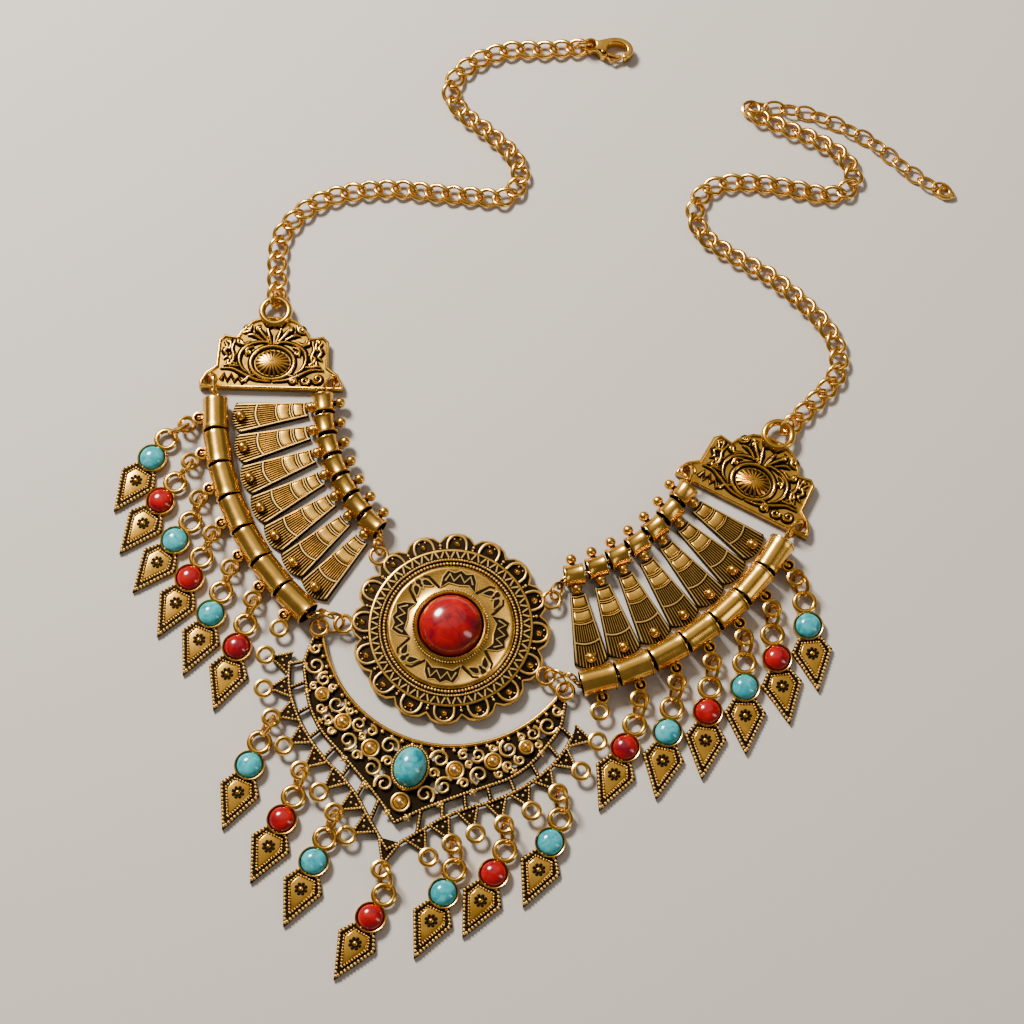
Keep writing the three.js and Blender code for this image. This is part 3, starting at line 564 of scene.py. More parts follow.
small_bead = ball(0.3, 8, 5, finish=RUBBED_LIT)
round_ball = ball(1.4, 18, 12)
arm_loop = ring(1.95, 0.62, flatten=0.85)


def bead(x, y, z, size):
    return (small_bead, at(x, y, z, 0, size))


def beads_along(path, step, z, size, closed=False):
    return [bead(p.x, p.y, z, size) for p, _ in spaced(path, step, closed)]


def scroll(side, x, y, size, turn, hand, z, coils):
    """The path of a C-scroll on the right, or its mirror image on the left; the wire thins to its eye."""
    start = turn if side > 0 else 180 - turn
    path = []
    for i in range(20):
        share = i / 19
        wound = hand * side * 360 * coils * share
        px, py = turned_by(start + wound, size * (1 - 0.74 * share), side * x, y)
        path.append((px, py, z, 1.1 - 0.35 * share))
    return path


def leaning_link(x, y, z, mean, heading, tilt, dip=0.0):
    """The place of a ring that leans, and its far end. Its near side crosses a loop's height at x, y."""
    lean = math.radians(abs(tilt))
    lean_sin, lean_cos = math.sin(lean), math.cos(lean)
    dip_sin, dip_cos = math.sin(math.radians(dip)), math.cos(math.radians(dip))
    lowest = math.atan2(dip_sin, lean_sin * dip_cos)
    drop_share = (LOOP_Z - z) / mean / math.hypot(lean_sin * dip_cos, dip_sin)
    crossing = lowest + math.pi - math.asin(drop_share)
    along = mean * (math.cos(crossing) * dip_cos + math.sin(crossing) * lean_sin * dip_sin)
    across = math.copysign(1, tilt) * mean * math.sin(crossing) * lean_cos
    ahead = turned_by(heading, 1)
    middle = (x - ahead[0] * along + ahead[1] * across, y - ahead[1] * along - ahead[0] * across)
    place = at(*middle, z, heading) @ rolled(dip, "Y") @ rolled(tilt)
    return place, (middle[0] + ahead[0] * mean * dip_cos, middle[1] + ahead[1] * mean * dip_cos)


def link_towards(start, end, mean, z, tilt, slack):
    """A leaning ring in the loop at start that points to end."""
    heading = bearing(end[0] - start[0], end[1] - start[1])
    x, y = turned_by(heading, slack, *start)
    return leaning_link(x, y, z, mean, heading, tilt)


# Tubes of the outer strand


def tube_casting():
    wall = turned(
        [(2.9, -4.4, 1), (3.4, -4.4, 0.1), (3.56, -4.3, 0), (3.6, -4.12, 0), (3.56, -3.95, 0.1),
         (3.44, -3.86, 0.65), (3.4, -3.7, 0.3), (3.4, -2.2, 0), (3.36, 0, 0), (3.35, 3.4, 0),
         (3.36, 4.15, 0.05), (3.3, 4.36, 0.1), (3.16, 4.4, 0.4), (2.9, 4.4, 1), (2.9, 3.0, 1),
         (2.9, -3.0, 1), (2.9, -4.4, 1)],
        40,
    )
    eyelet = turned(
        [(0, 1.3, 1), (1.6, 1.3, 1), (1.66, 1.6, 0.4), (1.66, 2.75, 0), (1.52, 2.95, 0), (1.3, 2.98, 0),
         (1.14, 2.8, 0.3), (1.06, 2.3, 1), (0.74, 2.25, 1), (0.66, 2.5, 0.4), (0.56, 2.9, 0),
         (0.3, 3.12, 0), (0, 3.18, 0)],
        22,
    )
    neck = wires([[(0, 2.6, 2.1), (0, 4.2, 2.0)]], 0.75, tarnish_and_shade=[(1.4, 1), (2.3, 0.25)])
    lie = at(z=TUBE_R) @ rolled(90, "Y")
    return gather([(wall, lie), (eyelet, at(0, 4.45)), neck])


# Fans with their spools and balls


def fan_half_width(x):
    return 2.0 + (x - FAN_START) / FAN_LENGTH * 2.32


def fan_point(x, share, z=0.0):
    """A point of the fan: its distance from the spool, and its share of the half width."""
    bulge = 0.35 + 1.1 * (x - FAN_START) / FAN_LENGTH
    return (x + bulge * (1 - share * share), share * fan_half_width(x), z)


def fan_band(x0, x1, low, high, tarnish_and_shade, inset):
    """A raised band across the fan, bowed as its rim is."""
    shares = [inset * (i / 4 - 1) for i in range(9)]
    outline = [fan_point(x0, s)[:2] for s in shares] + [fan_point(x1, s)[:2] for s in reversed(shares)]
    return plate_metal([outline], low, high, 0.26, 2, tarnish_and_shade)


def fan_casting():
    spool = turned(
        [(2.3, -2.5, 1), (2.75, -2.5, 0.2), (2.92, -2.42, 0), (2.95, -2.28, 0), (2.83, -2.1, 0.1),
         (2.7, -1.4, 0.05), (2.62, -0.6, 0), (2.61, 0, 0), (2.62, 0.6, 0), (2.7, 1.4, 0.05),
         (2.83, 2.1, 0.1), (2.95, 2.28, 0), (2.92, 2.42, 0), (2.75, 2.5, 0.2), (2.3, 2.5, 1), (2.3, 0, 1),
         (2.3, -2.5, 1)],
        34,
    )
    lie = at(z=SPOOL_R) @ rolled(90)
    stem = wires([[(-2.2, 0, 2.7), (-4.2, 0, 2.7)]], 0.72, sides=10, tarnish_and_shade=0.9)
    shares = [i / 5 - 1 for i in range(11)]
    rim = [fan_point(4.4, s)[:2] for s in shares] + [fan_point(22.7, s)[:2] for s in reversed(shares)]
    # The base is dark on its sides and black on top outside the side wires: partly oxide, partly painted
    # shade for the shadowed gaps between the fans.
    base = plate_metal([rim], 0.0, 1.15, 0.12, 0, [(0, 0.8), (0.5, 0.8), (0.9, 1.0)])
    side_line = [(FAN_START, 1.3), (13, 1.35), (22.0, 1.2)]
    edges = [[fan_point(x, s, z) for x, z in side_line] for s in (-0.88, 0.88)]
    sides = wires(edges, 0.21, tarnish_and_shade=[(1.15, 0.9), (1.4, 0.0)], finish=RUBBED_LIT)
    ribs = []
    fringe = []
    for i in range(11):
        share = 0.17 * i - 0.85
        end = 22.2 + 0.7 * (1 - share * share)
        ribs.append([(*fan_point(12.4, share, 1.25), 0.8), (*fan_point(16.5, share, 1.25), 1.0)])
        fringe.append([(*fan_point(17.5, share, 1.3), 1.0), (*fan_point(end, share, 1.2), 1.3)])
    ribbed = wires(ribs, 0.13, tarnish_and_shade=[(1.15, 1), (1.34, 0.05)])
    fringed = wires(fringe, 0.125, tarnish_and_shade=[(1.2, 1), (1.4, 0.1)])
    parts = [
        (spool, lie), stem, base, sides, ribbed, fringed,
        fan_band(5.4, 7.6, 0.9, 1.55, [(1.1, 1.0), (1.35, 0.4), (1.55, 0.24)], 0.7),
        fan_band(9.0, 11.6, 0.9, 1.6, [(1.1, 1.0), (1.35, 0.4), (1.6, 0.24)], 0.76),
        (round_ball, at(-4.35, 0, 2.7)), (round_ball, at(3.45, 0, 2.1)), (round_ball, at(22.0, 0, 2.3)),
    ]
    for x, size in ((5.0, 1.1), (8.0, 0.9), (8.6, 0.9), (12.0, 1.1), (17.0, 1.6)):
        bow = [fan_point(x, s * 0.88, 1.3) for s in (-1, -0.6, -0.2, 0.2, 0.6, 1)]
        parts.append(wires([bow], 0.18 * size, tarnish_and_shade=[(1.15, 1), (1.4, 0.0)], finish=RUBBED_LIT))
    pit = ball(0.2, 6, 4, 1.0)
    for i in range(9):
        x, y, _ = fan_point(11.2, -0.64 + 0.16 * i)
        parts.append((pit, at(x, y, 1.56)))
    return gather(parts)


# Drops


def kite_outline(inset):
    """The kite's outline, drawn in from its edge."""
    top, shoulder, tip = 10.9, 14.54, 25.45
    slope = (tip - shoulder) / 5.25
    reach = inset * math.hypot(1, slope)
    x0 = top + inset
    x1 = shoulder + inset * 0.35
    half = (tip - reach - x1) / slope
    return [(x0, -2.9 + inset * 0.5), (x1, -half), (tip - reach, 0), (x1, half), (x0, 2.9 - inset * 0.5)]


def drop_casting():
    loop = ring(2.5, 0.72, 30, 10, flatten=0.8)
    setting = turned(
        [(0, 0, 1), (3.6, 0, 0.8), (3.8, 0.15, 0.4), (3.86, 0.8, 0.15), (3.86, 1.6, 0.0), (3.8, 1.95, 0),
         (3.66, 2.06, 0), (3.5, 2.0, 0), (3.42, 1.8, 0.4), (3.38, 1.35, 1), (3.0, 1.25, 1), (0, 1.2, 1)],
        36,
    )
    dome = turned(
        [(0, 1.0, 0), (3.16, 1.0, 0), (3.22, 1.5, 0), (3.14, 2.0, 0), (2.86, 2.55, 0), (2.4, 3.0, 0),
         (1.75, 3.37, 0), (0.95, 3.6, 0), (0, 3.68, 0)],
        32, STONE,
    )
    stone_at = 8.15
    flower_at = 15.4
    kite = plate_metal([kite_outline(0)], 0, 0.95, 0.12, 0, [(0, 0.7), (0.3, 0.1), (0.78, 0.1), (0.88, 1.0)])
    field = plate_metal([kite_outline(1.75)], 0.6, 1.3, 0.3, 3, [(0.9, 1.0), (1.02, 0.0)])
    parts = [(loop, at(1.9, 0, 1.4)), (setting, at(stone_at)), (dome, at(stone_at)), kite, field]
    parts += beads_along(kite_outline(0.42), 0.98, 1.0, 1.45, True)
    parts += beads_along(kite_outline(1.5), 0.72, 1.12, 1.0, True)
    petal = ball(0.5, 8, 5, 1.0)
    flat = stretched(1, 1, 0.35)
    for i in range(8):
        x, y = turned_by(45 * i, 1.25, flower_at, 0)
        parts.append((petal, at(x, y, 1.28) @ flat))
    parts.append((turned([(0, 1.1, 1), (1.05, 1.1, 1), (1.05, 1.36, 1), (0, 1.36, 1)], 14), at(flower_at)))
    low_dome = at(flower_at, 0, 1.36) @ stretched(1, 1, 0.7)
    parts.append((ball(0.68, 12, 8, [(-0.3, 0.8), (0.0, 0.0)]), low_dome))
    return gather(parts)


tube = tube_casting()
fan = fan_casting()
drop = drop_casting()
jump_ring = ring(2.7, 0.56, 28, 8, BRIGHT, 0.85)


def set_drop(name, x, y, swing, turn, stone):
    """A drop whose jump ring goes through the loop at x, y."""
    ahead = turned_by(swing, 1)
    place, far = leaning_link(x - ahead[0] * 0.25, y - ahead[1] * 0.25, 2.78, 2.6, swing, LINK_TILT, 11)
    parts = [(jump_ring, place), (drop, at(*far, 0, turn))]
    set_piece(name, parts, [polished, rubbed_lit_gold, stone])


for side, label, falls in ((-1, "left", DROPS_LEFT), (1, "right", DROPS_RIGHT)):
    for i in range(PER_ARM):
        angle = FIRST_ANGLE + STEP_ANGLE * i
        outward = 180 + angle if side < 0 else -angle
        loop_x, loop_y = arm_point(side, OUTER_R + LOOP_AT, angle + LOOP_DROOP)
        tube_at = at(*arm_point(side, OUTER_R, angle), 0, outward - 90)
        parts = [(tube, tube_at), (arm_loop, at(loop_x, loop_y, LOOP_Z))]
        set_piece(f"tube_{label}_{i + 1}", parts, [satin])
        spool = Vector(arm_point(side, INNER_R, angle - SPOOL_LAG))
        tail = Vector(arm_point(side, INNER_R + FAN_END - 1.2, angle))
        heading = bearing(tail.x - spool.x, tail.y - spool.y)
        parts = [(fan, at(spool.x, spool.y, 0, heading))]
        set_piece(f"fan_{label}_{i + 1}", parts, [filigree, rubbed_lit_gold])
        if i < len(falls):
            set_drop(f"drop_{label}_{i + 1}", loop_x, loop_y, *falls[i], STONES[i % 2])

middle_loops = [(-CRESCENT_LOOPS[i][0], CRESCENT_LOOPS[i][1]) for i in (5, 3, 1)] + [POINT_LOOP]
middle_loops += [CRESCENT_LOOPS[i] for i in (1, 3, 5)]
for i, ((x, y), (swing, turn)) in enumerate(zip(middle_loops, DROPS_MIDDLE)):
    set_drop(f"drop_middle_{i + 1}", x, y, swing, turn, STONES[i % 2])


# Medallion


def medallion_parts():
    rim = []
    for i in range(SCALLOPS):
        for j in range(6):
            share = j / 6
            dip = 2.2 * (1 - math.sin(math.pi * share) ** 0.6)
            rim.append(turned_by(360 * (i + share) / SCALLOPS, 25 - dip))
    # The base plate is black on top where it shows inside and round the petals: partly oxide, partly painted
    # shade standing for the shadowed floor seen through open petals.
    parts = [plate_metal([rim], 0, 2.2, 0.3, 1, [(0, 0.5), (1.4, 0.25), (1.9, 0.5), (2.15, 1.0)])]
    parts.append(wires([rim], 0.36, z=2.0, closed=True, tarnish_and_shade=[(1.8, 0.8), (2.2, 0.1)]))
    face = turned(
        [(21.0, 1.5, 1), (20.9, 2.6, 1), (20.6, 2.75, 0.1), (20.3, 2.75, 0.1), (20.1, 2.5, 1),
         (18.3, 2.5, 1), (18.1, 2.8, 0.2), (17.8, 2.8, 0.2), (17.6, 2.5, 1), (16.4, 2.5, 1),
         (16.1, 2.9, 0.3), (15.7, 3.25, 0),
         (15.3, 3.3, 0), (14.9, 3.2, 0.0), (12.4, 3.0, 0), (10.4, 3.05, 0), (9.9, 3.25, 0.15),
         (9.6, 3.3, 0.9), (9.45, 3.35, 1), (9.35, 3.9, 0.6), (9.0, 4.3, 0), (8.75, 4.5, 0), (8.5, 4.4, 0),
         (8.38, 4.1, 0.8),
         (8.3, 3.0, 1), (0, 3.0, 1), (0, 1.5, 1), (21.0, 1.5, 1)],
        96,
    )
    parts.append(face)
    bead_rows = [(9.55, 0.72, 3.62, 0.95), (16.85, 0.86, 2.7, 1.3), (17.95, 0.7, 2.85, 1.0)]
    for radius, step, z, size in bead_rows:
        parts += beads_along([turned_by(a, radius) for a in range(0, 360, 4)], step, z, size, True)
    ticks = []
    for i in range(90):
        lean = 1.1 if i % 2 else -1.1
        ticks.append([(*turned_by(4 * i - lean, 18.5), 2.68), (*turned_by(4 * i + lean, 20.1), 2.68)])
    parts.append(wires(ticks, 0.27, tarnish_and_shade=[(2.55, 1), (2.8, 0.0)], finish=RUBBED_LIT))
    cone = turned(
        [(0, 2.0, 1), (1.0, 2.0, 1), (0.85, 2.35, 0.5), (0.45, 2.75, 0.0), (0.2, 3.05, 0), (0, 3.12, 0)], 12
    )
    arch = [(20.9, 6.6), (22.0, 6.5), (23.2, 5.6), (24.2, 3.4), (24.6, 0)]
    arch = arch + [(r, -a) for r, a in reversed(arch[:-1])]
    petal_tone = [(2.35, 1.0), (2.65, 0.0)]
    for i in range(SCALLOPS):
        middle = 360 * (i + 0.5) / SCALLOPS
        petal = smoothed([turned_by(middle + a, r) for r, a in arch], 3)
        parts.append(wires([petal], 0.36, z=2.55, tarnish_and_shade=petal_tone, sides=8, finish=RUBBED_LIT))
        parts.append((cone, at(*turned_by(middle, 22.4))))
        for step in (-1.9, 1.9):
            parts.append(bead(*turned_by(middle + step, 23.6), 2.4, 0.9))
        for radius, size in ((21.9, 1.5), (21.1, 1.0)):
            parts.append(bead(*turned_by(360 * i / SCALLOPS, radius), 2.5, size))
    return parts


def star_parts():
    """The engraved ring round the stone: four black patches with a bright zigzag, and leaves between."""
    parts = []
    patch = [(-25, 10.6), (-19, 13.4), (-13, 15.0), (-6, 14.3), (0, 15.1), (6, 14.3), (13, 15.0), (19, 13.4),
             (25, 10.6), (13, 11.6), (0, 11.0), (-13, 11.6)]
    zigzag = [(-17, 12.2), (-11, 14.0), (-6.5, 12.0), (0, 13.9), (6.5, 12.0), (11, 14.0), (17, 12.2)]
    groove = [(19, 10.8), (12, 14.4), (7, 15.1)]
    patches, zigzags, grooves, leaves = [], [], [], []
    for quarter in (5, 95, 185, 275):
        patches.append([turned_by(quarter + a, r) for a, r in patch])
        zigzags.append([turned_by(quarter + a, r) for a, r in zigzag])
        for s in (-1, 1):
            grooves.append([turned_by(quarter + 45 + s * a, r) for a, r in groove])
        for step, lean, radius in ((-7.5, 40, 12.9), (0, 0, 13.9), (7.5, -40, 12.9)):
            spot = at(*turned_by(quarter + 45 + step, radius), 0, quarter + 45 + step + lean)
            leaf = []
            for j in range(12):
                around = math.radians(30 * j)
                wide = 0.8 * math.sin(around) * (1 + 0.5 * math.cos(around))
                p = spot @ Vector((1.6 * math.cos(around), wide, 0))
                leaf.append((p.x, p.y))
            leaves.append(leaf)
    outlines = patches + leaves
    for outline in outlines:
        parts.append(plate_metal([outline], 2.7, 3.24, 0.03, 0, 1.0))
    parts.append(wires(grooves, 0.42, z=3.0, tarnish_and_shade=1.0))
    edge_tone = [(3.15, 0.8), (3.3, 0.0)]
    parts.append(wires(outlines, 0.17, z=3.26, closed=True, tarnish_and_shade=edge_tone, finish=RUBBED_LIT))
    parts.append(wires(zigzags, 0.27, z=3.28, tarnish_and_shade=[(3.1, 1.0), (3.34, 0.0)], finish=RUBBED_LIT))
    return parts


medal_loop = ring(2.2, 0.52, 30, 10)
rings = []
for loop_at in (UPPER_LOOP, SIDE_LOOP):
    x, y = turned_by(*loop_at)
    rings += [(medal_loop, at(x, y, LOOP_Z)), (medal_loop, at(-x, y, LOOP_Z))]
set_piece("medallion", medallion_parts() + star_parts() + rings, [filigree, rubbed_lit_gold])
big_dome = turned(
    [(0, 3.2, 0), (7.9, 3.2, 0), (8.0, 3.6, 0), (7.96, 4.3, 0), (7.75, 5.1, 0), (7.3, 5.95, 0),
     (6.6, 6.8, 0), (5.6, 7.55, 0), (4.3, 8.18, 0), (2.7, 8.6, 0), (1.2, 8.76, 0), (0, 8.8, 0)],
    64,
)
set_piece("medallion_stone", [big_dome], [red_resin])


# Crescent


def inner_edge(angle):
    return 30.5 + 1.8 * ((90 - angle) / (90 - TIP_ANGLE)) ** 2


def half_wire(tip, radii, point_r):
    """The right half of a crescent wire, from its tip to its point."""
    return flat_line([below(*tip), *(below(a, r) for a, r in zip(RUNG_ANGLES, radii)), (0, -point_r)], 4)


def crescent_parts():
    upper = half_wire((TIP_ANGLE, UPPER_TIP_R), UPPER_WIRE_R, UPPER_POINT_R)
    lower = half_wire(LOWER_TIP, LOWER_WIRE_R, LOWER_POINT_R)
    inner = [below(a, inner_edge(a)) for a in range(90, 17, -4)]
    pierced = [ringed(side * x, y, r * 1.02, r * 1.02, 12) for x, y, r in EYES for side in (-1, 1)]
    # The sheet behind the scrolls is near black: partly the oxide of the openwork, partly painted shade
    # standing for the shadowed floor seen through its openings.
    oxide_and_shade_tone = [(0, 0.8), (0.5, 0.6), (1.05, 1.0)]
    parts = [plate_metal([crescent_field(inner, upper), *pierced], 0.0, 1.2, 0.1, 0, oxide_and_shade_tone)]
    polished_edge = [(-p[0], p[1], 1.5) for p in reversed(inner[1:])] + [(*p, 1.5) for p in inner]
    parts.append(wires([polished_edge], 0.52, sides=8, tarnish_and_shade=[(1.2, 0.9), (1.65, 0.0)]))
    rungs = list(zip(RUNG_ANGLES, UPPER_WIRE_R, LOWER_WIRE_R))
    for side in (-1, 1):
        above = [(side * x, y) for x, y in upper]
        under = [(side * x, y) for x, y in lower]
        rods = [above, under, *([below(a, r0, side), below(a, r1, side)] for a, r0, r1 in rungs)]
        rods.append([below(TIP_ANGLE, UPPER_TIP_R, side), below(TIP_ANGLE, inner_edge(TIP_ANGLE), side)])
        parts.append(wires(rods, 0.55, z=1.15, sides=8, tarnish_and_shade=[(1.1, 1.0), (1.7, 0.6)]))
        parts += beads_along(above, 0.84, 1.92, 1.3)
        parts += beads_along(under, 0.84, 1.92, 1.3)
        for a, r0, r1 in rungs:
            parts += beads_along([below(a, r0 + 0.8, side), below(a, r1 - 0.8, side)], 0.8, 1.9, 1.05)
        for a in range(88, 22, -5):
            parts.append(bead(*below(a, inner_edge(a) + 1.1, side), 1.55, 1.9))
        scrolls = [scroll(side, *spot, 1.75, 1.3) for spot in band_scrolls()]
        parts.append(wires(scrolls, 0.4, tarnish_and_shade=[(1.5, 1.0), (1.82, 0.0)], sides=8, finish=RUBBED_LIT))
        for x, y in BEAD_FLOWERS:
            parts.append(bead(side * x, y, 1.7, 2.0))
            for k in range(4):
                parts.append(bead(*turned_by(45 + 90 * k, 0.72, side * x, y), 1.55, 1.2))
        for x, y, r in CUPS:
            parts += cup_parts(side * x, y, r)
    parts += cup_parts(*POINT_CUP)
    parts += beads_along(ringed(0, OVAL_Y, 4.45, 5.45, 40), 0.68, 2.6, 1.0, True)
    oval_at = at(0, OVAL_Y) @ stretched(4, 5, 1)
    seat = turned(
        [(0, 0.6, 1), (1.2, 0.6, 1), (1.2, 2.2, 0.5), (1.1, 2.5, 0.1), (1.02, 2.4, 0.9), (0, 2.2, 1)], 40
    )
    oval = turned(
        [(0, 2.0, 0), (1, 2.0, 0), (1.01, 2.9, 0), (0.97, 3.7, 0), (0.86, 4.6, 0), (0.66, 5.4, 0),
         (0.4, 5.95, 0), (0.16, 6.17, 0), (0, 6.2, 0)],
        44, STONE,
    )
    parts += [(seat, oval_at), (oval, oval_at)]
    for x, y in CRESCENT_LOOPS:
        for side in (-1, 1):
            parts += tooth_parts((side * x, y), [(side * a, b) for a, b in lower])
    parts += tooth_parts(POINT_LOOP, [(0.01, -56.0), (-0.01, -56.0)])
    tip_ring = ring(2.1, 0.52, 30, 10)
    for side in (-1, 1):
        parts.append((tip_ring, at(side * TIP_LOOP[0], TIP_LOOP[1], LOOP_Z)))
        neck = [(*below(TIP_ANGLE, 34, side), 1.4), (side * 32.4, -10.6, 2.0)]
        parts.append(wires([neck], 0.7, tarnish_and_shade=[(1, 0.8), (1.8, 0.1)]))
    return parts


def upper_wire(angle):
    angles = [TIP_ANGLE, *RUNG_ANGLES, 90]
    radii = [UPPER_TIP_R, *UPPER_WIRE_R, UPPER_POINT_R]
    for a0, a1, r0, r1 in zip(angles, angles[1:], radii, radii[1:]):
        if a0 <= angle <= a1:
            return r0 + (r1 - r0) * (angle - a0) / (a1 - a0)
    return radii[-1]


def band_scrolls():
    """Scrolls packed into the crescent's right half, large ones first, clear of its cups and stone."""
    taken = [(x, y, r + 0.1) for x, y, r in [*CUPS, POINT_CUP]]
    taken += [(0, -36.2, 4.4), (0, -38.6, 4.4)]
    found = []
    for size in (2.6, 2.0, 1.5, 1.1):
        for angle in range(22, 90, 1):
            low, high = inner_edge(angle) + 0.9 + size, upper_wire(angle) - 0.6 - size
            for step in range(max(0, int((high - low) / 0.4) + 1)):
                x, y = below(angle, low + 0.4 * step)
                gaps = [math.hypot(x - cx, y - cy) - 0.93 * (size + r) for cx, cy, r in taken]
                if x > 0.9 * size and min(gaps) > 0:
                    taken.append((x, y, size))
                    found.append((x, y, size * 0.94, 137 * len(found), 1 if len(found) % 2 else -1))
    return found


def crescent_field(inner, upper):
    """The outline of the sheet between the inner edge and the upper wire, both halves."""
    edge = inner + upper[:-1]
    return edge + [upper[-1]] + [(-x, y) for x, y in reversed(edge[1:])]


def cup_parts(x, y, r):
    """A domed cup in a ring, in a black hollow."""
    outer = shade(ring(r - 0.3, 0.34, 26, 8), [(-0.2, 0.9), (0.05, 0.0)], RUBBED_LIT)
    dome = turned(
        [(0, 1, 1), (r * 0.74, 1, 1), (r * 0.72, 1.8, 0.8), (r * 0.62, 2.5, 0.05), (r * 0.42, 3.2, 0),
         (r * 0.18, 3.62, 0), (0, 3.7, 0)],
        22, RUBBED_LIT,
    )
    pit = turned([(0, 0.8, 1), (r - 0.1, 0.8, 1), (r - 0.1, 1.5, 1), (0, 1.5, 1)], 20)
    return [(outer, at(x, y, 1.9)), (dome, at(x, y, -0.1)), (pit, at(x, y))]


def tooth_parts(loop, wire):
    """A tooth outlined with beads, from the lower wire to a loop."""
    loop = Vector(loop)
    spots = [Vector(a).lerp(Vector(b), t / 4) for a, b in zip(wire, wire[1:]) for t in range(5)]
    root = min(spots, key=lambda p: (p - loop).length)
    out = (loop - root).normalized()
    across = Vector((-out.y, out.x))
    reach = (loop - root).length - 1.5
    point = root + out * reach
    corners = [root + across * 2.7, point, root - across * 2.7]
    shape = [tuple(p) for p in (corners[0], point + across * 0.4, point - across * 0.4, corners[2])]
    parts = [plate_metal([shape], 0.5, 1.5, 0.08, 0, [(0.5, 0.9), (1.3, 0.8), (1.45, 1.0)])]
    for a, b in zip(corners, corners[1:]):
        parts.append(wires([[a, b]], 0.42, z=1.3, tarnish_and_shade=[(1.1, 0.9), (1.7, 0.5)]))
        parts += beads_along([a, b], 0.74, 1.75, 1.05)
    centre = root + out * reach * 0.38
    parts.append(bead(*centre, 1.6, 1.35))
    for sign in (-1, 1):
        spot = root + out * reach * 0.22 + across * 1.15 * sign
        parts.append(bead(*spot, 1.6, 1.1))
    parts.append((arm_loop, at(loop.x, loop.y, LOOP_Z)))
    return parts


set_piece("crescent", crescent_parts(), [filigree, rubbed_lit_gold, blue_resin])


# End plates


